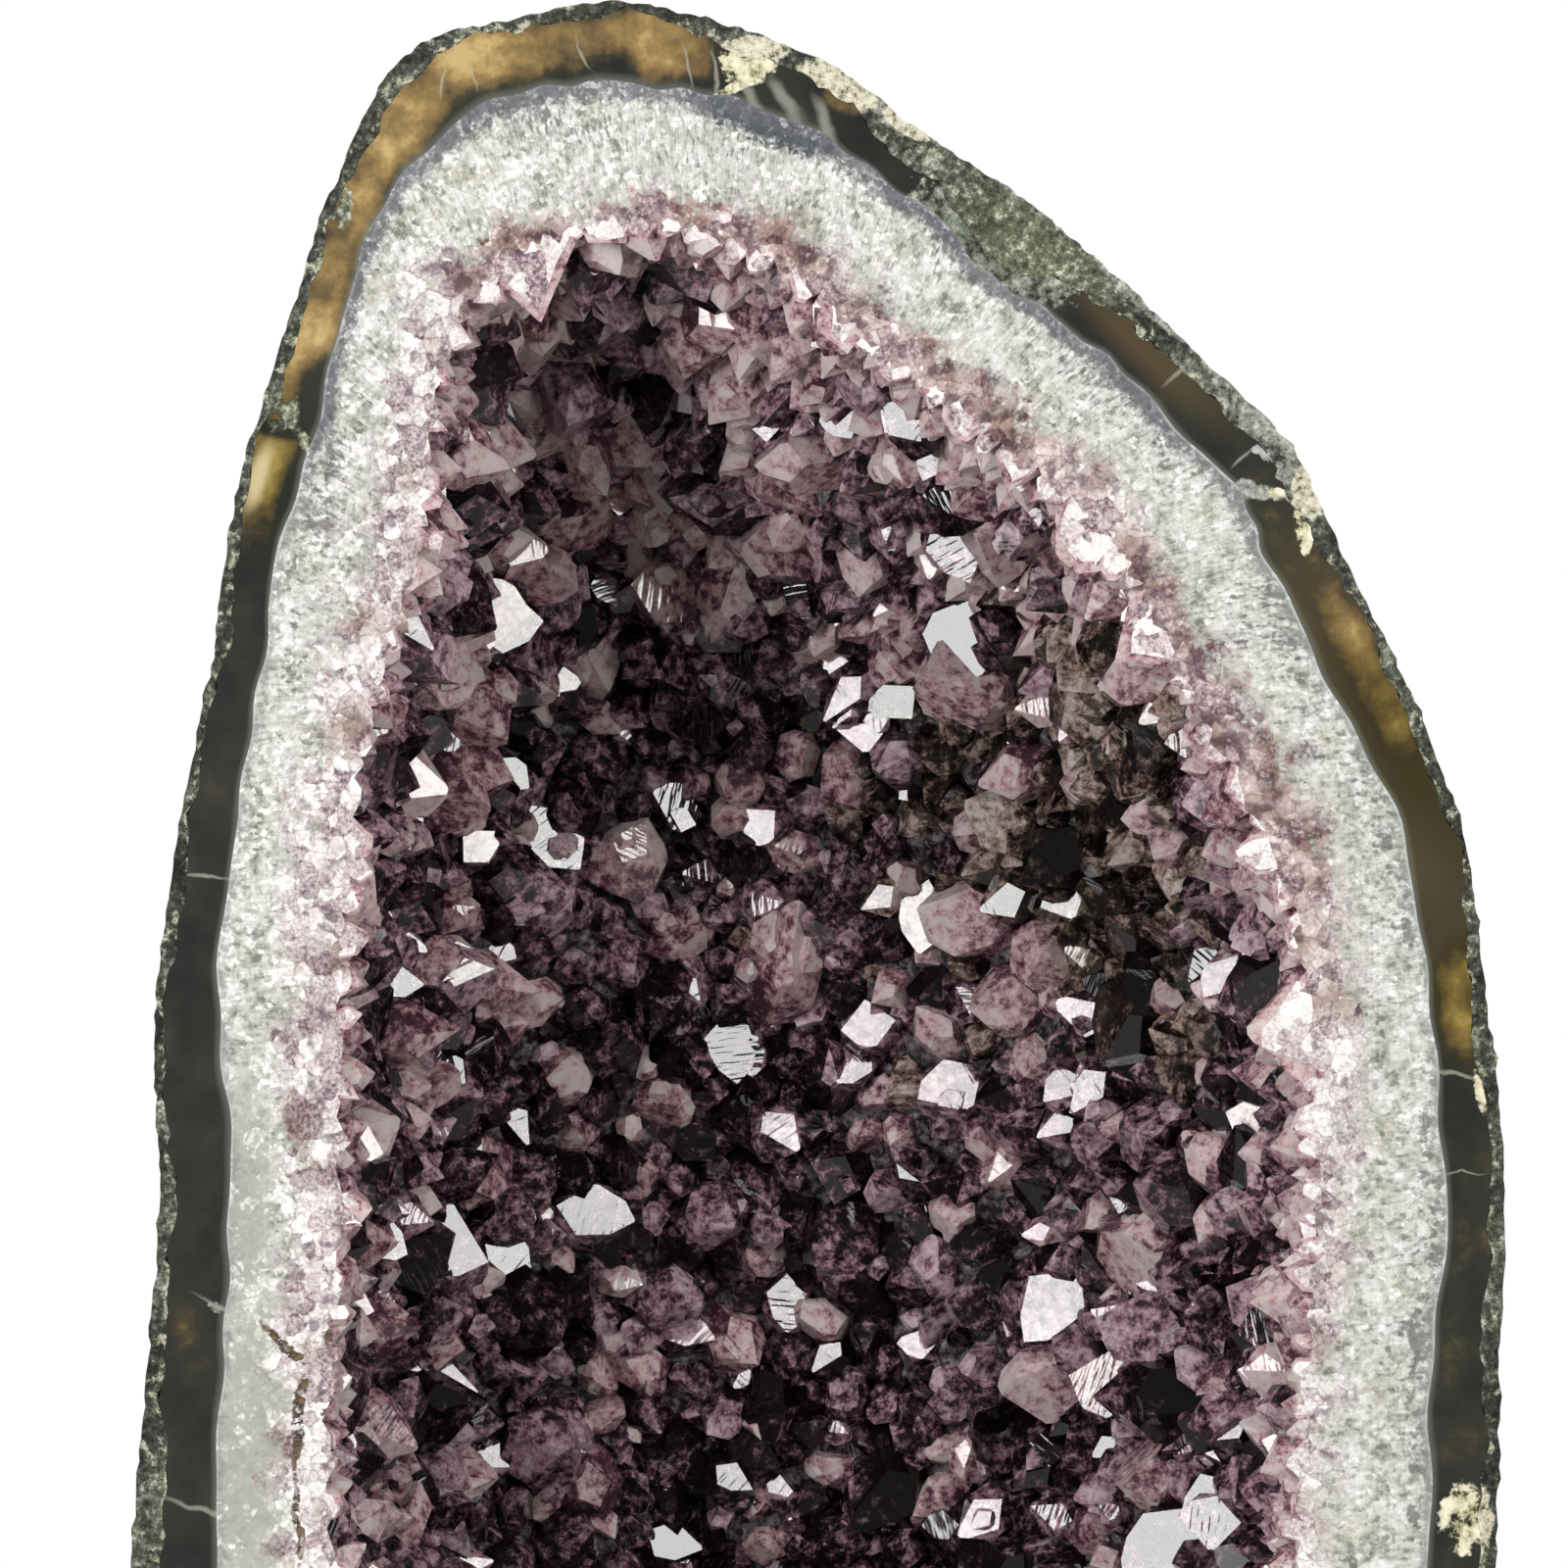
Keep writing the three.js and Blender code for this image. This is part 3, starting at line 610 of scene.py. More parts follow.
def sugaryQuartz():
    material, tree = newMaterial("sugaryQuartz")
    layers = addNode(tree, "UVMap", {"uv_map": "layers"}).outputs["UV"]
    grain = addNode(tree, "UVMap", {"uv_map": "grain"}).outputs["UV"]
    where = addNode(tree, "TexCoord").outputs["Object"]
    through = addNode(tree, "SeparateXYZ", {}, {0: layers}).outputs["Y"]
    stretched = addNode(tree, "Mapping", {"Scale": (1, 0.22, 1)}, {"Vector": grain})
    columns = addNode(tree, "TexNoise", {"Scale": 1 / quartzLook["column"], "Detail": 3, "Roughness": 0.65},
                      {"Vector": stretched.outputs["Vector"]})
    lumps = addNode(tree, "TexNoise", {"Scale": 1 / quartzLook["lump"], "Detail": 4, "Roughness": 0.75},
                    {"Vector": where})
    sugar = addNode(tree, "TexVoronoi", {"Scale": 1 / quartzLook["sugar"]}, {"Vector": where})
    clusters = addNode(tree, "TexNoise", {"Scale": 1 / quartzLook["cluster"], "Detail": 3}, {"Vector": where})
    grown = addNode(tree, "Mix", {"data_type": "FLOAT", 0: 0.42}, {
        2: lumps.outputs["Fac"], 3: columns.outputs["Fac"]})
    body = addNode(tree, "Mix", {"data_type": "FLOAT", 0: 0.36}, {2: grown.outputs[0], 3: clusters.outputs["Fac"]})
    smooth = nearPlaces(tree, where, quartzLook["smoothPlaces"])
    calm = addNode(tree, "Math", {"operation": "MULTIPLY", 1: 0.8}, {0: smooth})
    ownTone = addNode(tree, "SeparateXYZ", {}, {0: sugar.outputs["Color"]}).outputs["X"]
    sugary = addNode(tree, "Math", {"operation": "MULTIPLY_ADD", 1: 0.1}, {0: ownTone, 2: body.outputs[0]})
    even = addNode(tree, "Mix", {"data_type": "FLOAT", 3: 0.54}, {
        0: calm.outputs["Value"], 2: sugary.outputs["Value"]})
    milky = addNode(tree, "ValToRGB", {"ramp": [
        (0.43, "#797a71"), (0.48, "#a1a29a"), (0.52, "#bbbbb3"), (0.555, "#c9c9c2"), (0.59, "#d6d5d0"),
        (0.64, "#e3e3e0"), (0.7, "#f4f4f3")]}, {"Fac": even.outputs[0]})
    # Olive shades in places, and brown stains along a crack.
    other = addNode(tree, "SeparateXYZ", {}, {0: clusters.outputs["Color"]}).outputs["Y"]
    isOlive = addNode(tree, "MapRange", {1: 0.5, 2: 0.66, 3: 0.0, 4: 0.35}, {0: other})
    olive = addNode(tree, "Mix", {"data_type": "RGBA", "blend_type": "MULTIPLY", 7: colour("#d0ccb0")}, {
        0: isOlive.outputs["Result"], 6: milky.outputs["Color"]})
    greyed = addNode(tree, "Mix", {"data_type": "RGBA", 7: colour("#a2a499")}, {
        0: calm.outputs["Value"], 6: olive.outputs[2]})
    # Dark glassy specks gather towards the agate in some places.
    nearAgate = addNode(tree, "MapRange", {1: 0.95, 2: 0.42, 3: 0.0, 4: 1.0}, {0: through})
    inDark = nearPlaces(tree, where, quartzLook["darkPlaces"])
    gather = addNode(tree, "Math", {"operation": "MULTIPLY"}, {0: nearAgate.outputs["Result"], 1: inDark})
    gathered = addNode(tree, "Math", {"operation": "MULTIPLY_ADD", 1: 0.25},
                       {0: gather.outputs["Value"], 2: clusters.outputs["Fac"]})
    slanted = addNode(tree, "Mapping", {"Scale": (1, 0.6, 1)}, {"Vector": grain})
    fine = addNode(tree, "TexNoise", {"Scale": 1 / quartzLook["speck"], "Detail": 4, "Roughness": 0.65},
                   {"Vector": slanted.outputs["Vector"]})
    speckLevel = addNode(tree, "Math", {"operation": "MULTIPLY_ADD", 1: 0.8},
                         {0: gathered.outputs["Value"], 2: fine.outputs["Fac"]})
    fewer = addNode(tree, "Math", {"operation": "MULTIPLY_ADD", 1: -0.3}, {0: smooth, 2: speckLevel.outputs["Value"]})
    isSpeck = addNode(tree, "MapRange", {1: 1.03, 2: 1.17, 3: 0.0, 4: 0.8}, {0: fewer.outputs["Value"]})
    inSpeck = addNode(tree, "Mix", {"data_type": "RGBA", 7: colour("#4f534d")}, {
        0: isSpeck.outputs["Result"], 6: greyed.outputs[2]})
    glassy = crumbly(tree, nearPlaces(tree, where, quartzLook["glassPlaces"]), lumps.outputs["Fac"])
    specked = addNode(tree, "Mix", {"data_type": "RGBA", 7: colour("#4a5054")}, {0: glassy, 6: inSpeck.outputs[2]})
    # The glassy seam, darker at the top and paler at the lower left, and a pale line against the agate.
    uneven = addNode(tree, "Math", {"operation": "MULTIPLY_ADD", 1: 0.3}, {0: lumps.outputs["Fac"], 2: through})
    parts = addNode(tree, "SeparateXYZ", {}, {0: where})
    bySide = addNode(tree, "MapRange", {1: -0.11, 2: -0.04, 3: 0.82, 4: 0.95}, {0: parts.outputs["X"]})
    byHeight = addNode(tree, "MapRange", {1: 0.34, 2: 0.385, 3: 0.0, 4: 1.0}, {0: parts.outputs["Z"]})
    broader = addNode(tree, "Math", {"operation": "MULTIPLY_ADD", 1: -0.06}, {
        0: byHeight.outputs["Result"], 2: uneven.outputs["Value"]})
    nearSeam = addNode(tree, "MapRange", {1: 0.63, 2: 0.56, 3: 0.0, 4: 0.85}, {0: broader.outputs["Value"]})
    strength = addNode(tree, "Math", {"operation": "MAXIMUM"}, {
        0: bySide.outputs["Result"], 1: byHeight.outputs["Result"]})
    isSeam = addNode(tree, "Math", {"operation": "MULTIPLY"}, {
        0: nearSeam.outputs["Result"], 1: strength.outputs["Value"]})
    glass = addNode(tree, "Mix", {"data_type": "RGBA", 6: colour("#8a8f8b"), 7: colour("#5a5b63")}, {
        0: byHeight.outputs["Result"]})
    seamed = addNode(tree, "Mix", {"data_type": "RGBA"}, {
        0: isSeam.outputs["Value"], 6: specked.outputs[2], 7: glass.outputs[2]})
    nearLine = addNode(tree, "MapRange", {1: 0.423, 2: 0.407, 3: 0.0, 4: 1.0}, {0: through})
    patchy = addNode(tree, "MapRange", {1: 0.42, 2: 0.6, 3: 0.15, 4: 0.75}, {0: other})
    lower = addNode(tree, "MapRange", {1: 0.44, 2: 0.38, 3: 0.1, 4: 1.0}, {0: parts.outputs["Z"]})
    someLine = addNode(tree, "Math", {"operation": "MULTIPLY"}, {
        0: patchy.outputs["Result"], 1: lower.outputs["Result"]})
    isLine = addNode(tree, "Math", {"operation": "MULTIPLY"}, {
        0: nearLine.outputs["Result"], 1: someLine.outputs["Value"]})
    lined = addNode(tree, "Mix", {"data_type": "RGBA", 7: colour("#c3c7c3")}, {
        0: isLine.outputs["Value"], 6: seamed.outputs[2]})
    mosaic, mosaicFaces = pinkMosaic(tree, where)
    late = nearPlaces(tree, where, quartzLook["whitePlaces"])
    start = addNode(tree, "Math", {"operation": "MULTIPLY_ADD", 1: -0.25}, {0: late, 2: through})
    jagged = addNode(tree, "Math", {"operation": "MULTIPLY_ADD", 1: 1.0},
                     {0: clusters.outputs["Fac"], 2: start.outputs["Value"]})
    jaggedToo = addNode(tree, "Math", {"operation": "MULTIPLY_ADD", 1: 0.8},
                        {0: lumps.outputs["Fac"], 2: jagged.outputs["Value"]})
    isPink = addNode(tree, "MapRange", {1: 1.67, 2: 1.89, 3: 0.0, 4: 1.0}, {0: jaggedToo.outputs["Value"]})
    shade = addNode(tree, "Mix", {"data_type": "RGBA"}, {
        0: isPink.outputs["Result"], 6: lined.outputs[2], 7: mosaic})
    stain = addNode(tree, "ValToRGB", {"ramp": [
        (0.4, "#1d1610"), (0.52, "#4b3a2b"), (0.64, "#7d6a53")]}, {"Fac": fine.outputs["Fac"]})
    bent = warped(tree, where, 7 * mm, 4 * mm)
    brown = crumbly(tree, nearPlaces(tree, bent, quartzLook["brownPlaces"]), fine.outputs["Fac"])
    rusty = addNode(tree, "Mix", {"data_type": "RGBA"}, {
        0: brown, 6: shade.outputs[2], 7: stain.outputs["Color"]})
    faces = addNode(tree, "Math", {"operation": "ADD"}, {0: tiltedFaces(tree, where, sugar), 1: mosaicFaces})
    bump = addNode(tree, "Bump", {"Strength": 0.45, "Distance": 1.0}, {"Height": faces.outputs["Value"]})
    stone = addNode(tree, "BsdfPrincipled", {"Roughness": 0.28, "IOR": 1.54}, {
        "Base Color": rusty.outputs[2], "Normal": bump.outputs["Normal"]})
    addNode(tree, "OutputMaterial", {}, {"Surface": stone.outputs["BSDF"]})
    return material


# The milky ground and hearts of the amethyst points: pink and cloudy near the rim, nearly black deep in. On the
# ground between the points that near-black is partly the amethyst's colour and partly painted shade in the gaps.
def milkyHearts():
    material, tree = newMaterial("milkyHearts")
    where = addNode(tree, "TexCoord").outputs["Object"]
    tone = addNode(tree, "Attribute", {"attribute_name": "tone"}).outputs["Fac"]
    clouds = addNode(tree, "TexNoise", {"Scale": 420, "Detail": 3, "Roughness": 0.65}, {"Vector": where})
    cloudy = addNode(tree, "Math", {"operation": "MULTIPLY_ADD", 1: 0.7}, {0: clouds.outputs["Fac"], 2: tone})
    isPale = addNode(tree, "MapRange", {1: 0.3, 2: 1.0, 3: 0.0, 4: 1.0}, {0: cloudy.outputs["Value"]})
    mosaic, faces = pinkMosaic(tree, where, sawn=False)
    shade = addNode(tree, "Mix", {"data_type": "RGBA", 6: colour("#1f171b")}, {
        0: isPale.outputs["Result"], 7: mosaic})
    bump = addNode(tree, "Bump", {"Strength": 0.6, "Distance": 1.0}, {"Height": faces})
    heart = addNode(tree, "BsdfPrincipled", {"Roughness": 0.5, "IOR": 1.54, "Specular IOR Level": 0.1}, {
        "Base Color": shade.outputs[2], "Normal": bump.outputs["Normal"]})
    addNode(tree, "OutputMaterial", {}, {"Surface": heart.outputs["BSDF"]})
    return material


# Amethyst: clear glassy points with flat faces and cloudy veils, darker towards their roots. Its colour
# deepens with the length that light goes in it: rose near the rim, violet elsewhere, smoky in one patch.
amethystLook = {
    "ior": 1.544, "roughness": 0.055, "clear": 0.42,
    "kinds": {   # its veils from dark to light, the colour it lets through, and how strongly it absorbs
        "roseAmethyst": ([(0.2, "#533541"), (0.36, "#9c727f"), (0.5, "#d3aab1"), (0.66, "#f0d3d3"),
                          (0.9, "#fcf0ee")], "#e3c8d0", 30),
        "violetAmethyst": ([(0.0, "#150e13"), (0.12, "#3a2833"), (0.25, "#715461"), (0.42, "#bb94a2"),
                            (0.6, "#e2c5cd"), (0.85, "#faecee")], "#b795b3", 75),
        "smokyAmethyst": ([(0.0, "#16100e"), (0.12, "#3b2d2a"), (0.25, "#6f594f"), (0.42, "#b69c90"),
                           (0.6, "#e0cfc6"), (0.85, "#faf1ec")], "#b99fa2", 75),
    },
}


def clearAmethyst(name):
    material, tree = newMaterial(name)
    veils, lets, density = amethystLook["kinds"][name]
    where = addNode(tree, "TexCoord").outputs["Object"]
    # The tone of a face is its paleness, with a random shift that is partly painted light and shade on its faces.
    tone = addNode(tree, "Attribute", {"attribute_name": "tone"}).outputs["Fac"]
    clouds = addNode(tree, "TexNoise", {"Scale": 330, "Detail": 3, "Roughness": 0.75}, {"Vector": where})
    cloudy = addNode(tree, "Math", {"operation": "MULTIPLY_ADD", 1: 1.85, 2: -0.83}, {0: clouds.outputs["Fac"]})
    toned = addNode(tree, "Math", {"operation": "MULTIPLY_ADD", 1: 0.7}, {0: tone, 2: cloudy.outputs["Value"]})
    belowTip = addNode(tree, "SeparateXYZ", {}, {
        0: addNode(tree, "UVMap", {"uv_map": "grain"}).outputs["UV"]}).outputs["Y"]
    deeper = addNode(tree, "Math", {"operation": "MULTIPLY_ADD", 1: 20.0}, {0: belowTip, 2: toned.outputs["Value"]})
    tint = addNode(tree, "ValToRGB", {"ramp": veils}, {"Fac": deeper.outputs["Value"]})
    grain = addNode(tree, "UVMap", {"uv_map": "grain"}).outputs["UV"]
    across = addNode(tree, "Mapping", {"Scale": (0.15, 1, 1)}, {"Vector": grain})
    growth = addNode(tree, "TexNoise", {"Scale": 900, "Detail": 1}, {"Vector": across.outputs["Vector"]})
    bump = addNode(tree, "Bump", {"Strength": 0.22, "Distance": 0.3 * mm}, {"Height": growth.outputs["Fac"]})
    crystal = addNode(tree, "BsdfPrincipled", {
        "Roughness": amethystLook["roughness"], "IOR": amethystLook["ior"],
        "Transmission Weight": amethystLook["clear"]},
        {"Base Color": tint.outputs["Color"], "Normal": bump.outputs["Normal"]})
    inside = addNode(tree, "VolumeAbsorption", {"Color": colour(lets), "Density": density})
    addNode(tree, "OutputMaterial", {}, {
        "Surface": crystal.outputs["BSDF"], "Volume": inside.outputs["Volume"]})
    return material


# The rind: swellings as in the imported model, then finer knobs, and a chipped edge at the saw cut.
rindShape = {"columns": 620, "rings": (84, 4, 6), "swell": 4.5 * mm, "knobs": 1.6 * mm, "grit": 0.7 * mm}


def makeRind():
    def swelling(x, y, z):
        x, y, z = x / mm, (y - sawPlane) / mm, z / mm
        broad = np.sin(x / 31 + 1.3 * np.sin(z / 47)) * np.sin(z / 37 + y / 29)
        fine = np.sin(x / 11 - z / 17) * np.sin(z / 13 + y / 9) * np.sin(y / 14 + 2)
        return 0.6 * broad + 0.4 * fine

    rind, made = makeShell("basaltRind", rindShape["columns"], rindShape["rings"],
                           outerPoint, insideRind, (0.0, 0.1))
    place, angle = made["place"], made["outAngle"]
    core = nearestOnCore(place[:, [0, 2]])
    outwards = place - np.column_stack([core[:, 0], np.full(len(core), sawPlane), core[:, 1]])
    outwards /= np.linalg.norm(outwards, axis=1, keepdims=True)
    skinShare = np.clip(1 - 1.5 * made["across"], 0, 1)
    fade = smoothStep(0, 0.4, angle)
    height = rindShape["swell"] * swelling(*place.T) * fade * skinShare
    rough = np.nonzero(skinShare > 0)[0]
    knobs = np.array([noise.fractal(Vector(p) * 85, 0.8, 2.1, 3) for p in place[rough]])
    grit = np.array([noise.noise(Vector(p) * 430) for p in place[rough]])
    rise = rindShape["knobs"] * knobs * (0.45 + 0.55 * fade[rough]) + rindShape["grit"] * grit
    height[rough] += (rise - 0.4 * mm) * skinShare[rough]
    place = place + outwards * height[:, None]
    atFront = (made["ring"] >= rindShape["rings"][0]) & (made["across"] < 1)
    chips = np.abs(np.sin(made["turn"] * 977) * np.sin(made["turn"] * 409 + 1)) * 0.9 * mm
    place[:, 1] += np.where(atFront, chips * (1 - made["across"]), 0)
    rind.data.vertices.foreach_set("co", place.ravel())
    rind.data.update()
    sawFoot(rind)
    rind.data.materials.append(weatheredBasalt())
    bpy.ops.object.shade_smooth_by_angle(angle=math.radians(50))
    fitToFrame(rind, "basalt_rind")


def makeAgate():
    agate, _ = makeShell("agateBand", 400, (12, 8, 12), insideRind, insideAgate, (0.1, 0.4))
    sawFoot(agate)
    agate.data.materials.append(polishedAgate())
    fitToFrame(agate, "agate_band")


def makeQuartz(stone):
    quartz, _ = makeShell("milkyQuartz", 480, (12, 10, 14), insideAgate, crustPoint, (0.4, 1.0))
    sawFoot(quartz)
    quartz.data.materials.append(stone)
    fitToFrame(quartz, "quartz_layer")


# The large points that stand out: x and z at the saw cut as the eye sees them, radius, and how pale.
points = {
    "large": [
        (-57.6, 413, 12.5, 1.0), (-79.6, 363, 9, 0.8), (-48.4, 362, 9.5, 0.75), (-12.5, 353, 10, 0.9),
        (12, 336, 8, 0.7), (0, 309, 8.5, 0.9), (14, 312, 7.5, 0.6), (40, 308, 8.5, 0.8),
        (-41, 268, 9.5, 0.5), (-2, 265, 13, 1.0), (43, 247, 8.5, 0.8), (106, 254, 12.5, 1.0),
        (-53, 294, 6.5, 0.6), (-56, 163, 12, 0.5), (-20, 213, 11, 0.5), (0, 242, 8.5, 0.4),
        (7.5, 196, 9, 0.4), (87, 198, 10, 0.6), (62, 368, 8.5, 0.7), (72, 342, 11, 0.8),
    ],
    # Points with a face that mirrors a softbox to the eye: x, z and radius.
    "bright": [
        (26, 354, 8), (-31, 380, 7), (-60, 395, 7), (-74, 381, 7), (-62, 338, 8), (-50, 351, 6), (20, 280, 8),
        (-15, 231, 8), (27, 237, 9), (11, 253, 7), (-50, 213, 9), (-76, 176, 8), (-29, 186, 8), (33, 149, 8),
        (-87, 272, 5), (-91, 209, 7), (-14, 194, 7), (55, 269, 5), (63, 189, 5), (-54, 295, 9), (11, 283, 6),
        (72, 322, 4.5), (1, 385, 5), (24, 375, 5.5), (32, 388, 6.5), (-2, 404, 7), (-44, 398, 7.5), (41, 350, 5),
        (-73, 295, 6), (-10, 153, 6), (21, 186, 5), (-5, 223, 5.5), (52, 282, 6), (-66, 160, 6), (50, 215, 6),
    ],
    "brightShare": 0.05,
    "least": 6 * mm, "spread": 6.5 * mm, "lateSize": 0.48, "rimSize": 0.5, "crowding": 0.62, "tries": 60000,
    "lean": 0.4, "height": (1.0, 1.9), "root": 6 * mm, "templates": 18,
    "withYoung": 6.5 * mm,   # a point of this radius or more carries up to three young ones
    "smallest": 2.8 * mm,    # radius
}


# A quartz point of radius 1 with its tip at the origin: a six-sided column, cut by three large and three
# smaller end faces, each set a little unevenly.
def makeTemplate(number):
    pick = random.Random(900 + number)
    deselectAll()
    bpy.ops.mesh.primitive_cylinder_add(vertices=6, radius=1, depth=6, location=(0, 0, -2))
    point = bpy.context.object
    bpy.ops.object.transform_apply(location=True)
    bpy.ops.object.mode_set(mode="EDIT")
    for side in range(6):
        large = side % 2 == 0
        direction = math.radians(60 * side + 30)
        direction += math.radians(pick.uniform(-5, 5))
        slope = facetSlope + math.radians(pick.uniform(-4, 4))
        drop = pick.uniform(0, 0.16) if large or number % 2 else pick.uniform(0.04, 0.6)
        normal = Vector((math.cos(direction) * math.sin(slope), math.sin(direction) * math.sin(slope),
                         math.cos(slope)))
        bpy.ops.mesh.select_all(action="SELECT")
        bpy.ops.mesh.bisect(plane_co=normal * -drop, plane_no=normal, use_fill=True, clear_outer=True)
    bpy.ops.mesh.select_all(action="SELECT")
    bpy.ops.transform.resize(value=(1, pick.uniform(0.78, 1), 1))
    bpy.ops.object.mode_set(mode="OBJECT")
    mesh = point.data
    corners = np.array([v.co for v in mesh.vertices])
    corners[:, 2] -= corners[:, 2].max()
    faces = [list(p.vertices) for p in mesh.polygons]
    normals = np.array([p.normal for p in mesh.polygons])
    largest = max((p.area, tuple(p.normal)) for p in mesh.polygons if 0.3 < p.normal.z < 0.9)[1]
    bpy.data.objects.remove(point)
    isFoot = corners[:, 2] < -2.5
    return {"corners": corners, "faces": faces, "normals": normals, "isFoot": isFoot,
            "reach": -corners[~isFoot, 2].min(), "largest": largest}


highUp = (300 * mm, 360 * mm)   # above this, more points are pale or mirror a softbox


# Where the points stand: the large ones first, then as many others as find room.
def findPlaces():
    pick = np.random.default_rng(11)

    def stand(turn, angle):
        depth = boundaries["rootDepth"]
        at = crustPoint(turn, angle, depth)
        along = crustPoint(turn + 0.002, angle, depth) - crustPoint(turn - 0.002, angle, depth)
        deeper = crustPoint(turn, angle + 0.02, depth) - crustPoint(turn, angle - 0.02, depth)
        inward = np.cross(deeper, along)
        inward /= np.maximum(np.linalg.norm(inward, axis=1, keepdims=True), 1e-12)
        inward[angle > 1.45] = (0, -1, 0)
        return at, inward, rimShare(turn, at)

    turn, angle = [grid.ravel() for grid in np.meshgrid(np.arange(240) / 240, np.linspace(-0.02, 1.5, 90))]
    at, inward, nearRim = stand(turn, angle)
    places = []
    wanted = [(*one, False) for one in points["large"]] + [(*one, 0.5, True) for one in points["bright"]]
    for x, z, radius, pale, bright in wanted:
        radius *= mm
        tips = at + inward * radius * 1.3 - np.array(eye["place"])
        seen = tips * (sawPlane - eye["place"].y) / tips[:, 1:2] + np.array(eye["place"])
        best = np.argmin(np.hypot(seen[:, 0] - x * mm, seen[:, 2] - z * mm))
        places.append({"at": at[best], "inward": inward[best], "radius": radius, "pale": pale,
                       "nearRim": nearRim[best], "bright": bright})
    count = points["tries"]
    turn = pick.random(count)
    angle = np.arcsin(pick.uniform(-0.07, 1, count))
    further = np.arccos((0.4 * pick.random(count)) ** 1.15)   # more tries at the flat back
    angle = np.where(pick.random(count) < 0.15, further, angle)
    at, inward, nearRim = stand(turn, angle)
    size = points["least"] + points["spread"] * pick.random(count) ** 2
    size *= np.linspace(1, points["lateSize"], count)    # what comes late is small and fills gaps
    size *= 1 - (1 - points["rimSize"]) * nearRim
    bright = pick.random(count) < points["brightShare"] * (1 + 1.5 * smoothStep(*highUp, at[:, 2]))
    cell = 18 * mm
    grid = {}

    def keep(place):
        key = tuple(int(c // cell) for c in place["at"])
        grid.setdefault(key, []).append(place)

    for place in places:
        keep(place)
    for i in range(count):
        key = [int(c // cell) for c in at[i]]
        near = (p for a in (-1, 0, 1) for b in (-1, 0, 1) for c in (-1, 0, 1)
                for p in grid.get((key[0] + a, key[1] + b, key[2] + c), ()))
        if all(math.dist(p["at"], at[i]) > points["crowding"] * (p["radius"] + size[i]) for p in near):
            place = {"at": at[i], "inward": inward[i], "radius": size[i], "pale": None,
                     "nearRim": nearRim[i], "bright": bright[i]}
            keep(place)
            places.append(place)
    return places


# The axis and the turn with which a point's largest end face mirrors a softbox to the eye.
def facingLight(pick, at, inward, normal):
    for _ in range(60):
        light = Vector(pick.choice(studio["boxes"][:4])[1])
        entry = at + (light - at) * (sawPlane - at.y) / (light.y - at.y)   # where its light comes in
        half = (eye["place"] - at).normalized() + (light - at).normalized()
        half = (half.normalized() + Vector([pick.gauss(0, 0.025) for _ in range(3)])).normalized()
        side = half.cross(Vector([pick.gauss(0, 1) for _ in range(3)])).normalized()
        axis = half * normal.z + side * math.sqrt(1 - normal.z**2)
        if axis.dot(inward) > 0.72 and -80 * mm < entry.x < 90 * mm and entry.z < 385 * mm:
            break
    outwards = (half - axis * normal.z).normalized()
    placed = math.atan2(normal.y, normal.x)
    ahead = outwards * math.cos(placed) - axis.cross(outwards) * math.sin(placed)
    across = axis.orthogonal().normalized()
    return axis, math.atan2(ahead.dot(axis.cross(across)), ahead.dot(across))


# Every point gets its axis, its length and its own look. Large ones carry young ones on their flanks.
def growPoints(templates):
    pick = random.Random(29)

    def grow(at, axis, radius, height, root, pale, kind, hearted, turned, template):
        root = max(root, (templates[template]["reach"] + 0.1) * radius - height)   # below its end faces
        return {"at": at, "axis": axis, "radius": radius, "height": height, "root": root, "pale": pale,
                "kind": kind, "hearted": hearted, "turned": turned, "template": template,
                "middle": at + axis * (height - root) / 2}

    for place in findPlaces():
        lean = Vector([pick.gauss(0, points["lean"]) for _ in range(3)])
        axis = (Vector(place["inward"]) + lean).normalized()
        at = Vector(place["at"])
        turned = pick.uniform(0, 2 * math.pi)
        template = pick.randrange(points["templates"])
        if place["bright"]:
            axis, turned = facingLight(pick, at, Vector(place["inward"]), Vector(templates[template]["largest"]))
        radius = place["radius"]
        height = radius * pick.uniform(*points["height"])
        pale = place["pale"]
        if pale is None:
            share = pick.random()
            high = float(smoothStep(*highUp, at.z))
            pale = min(0.9 * share**1.6 + 0.5 * place["nearRim"] + high * (0.12 + 0.4 * share**2), 1)
        if min(at.y, (at + axis * height).y) - radius < sawPlane:   # sawn through
            pale = max(pale, 0.66)
        smoky = math.hypot(at.x - 58 * mm, at.z - 298 * mm) / (48 * mm) + pick.gauss(0, 0.35) < 1
        kind = 0 if pale > 0.62 else 2 if smoky else 1
        yield grow(at, axis, radius, height, points["root"], pale, kind, pale > 0.34, turned, template)
        most = 4 if radius > points["withYoung"] else 1
        if place["pale"]:
            most = 3 if place["bright"] else 7
        for _ in range(pick.randrange(most)):   # young ones stand parallel, out of its flanks
            side = axis.cross(Vector([pick.gauss(0, 1) for _ in range(3)])).normalized()
            away = radius * pick.uniform(0.3, 0.85)
            size = radius * pick.uniform(0.25, 0.55)
            flank = at + axis * (height - away * math.tan(facetSlope)) + side * away
            tilt = Vector([pick.gauss(0, 0.06) for _ in range(3)])
            yield grow(flank, (axis + tilt).normalized(), size, size * pick.uniform(0.35, 1.0), size,
                       min(pale + 0.1, 1), kind, False, turned, template)


# Sorted so that no two points in one set touch.
def intoSets(grown):
    sets = []
    for point in sorted(grown, key=lambda p: -p["radius"]):
        half = (point["height"] + point["root"]) / 2
        ball = math.hypot(half, point["radius"])
        for one in sets:
            if all((point["middle"] - middle).length > ball + other for middle, other in one["balls"]):
                break
        else:
            one = {"balls": [], "points": []}
            sets.append(one)
        one["balls"].append((point["middle"], ball))
        one["points"].append(point)
    return [one["points"] for one in sets]


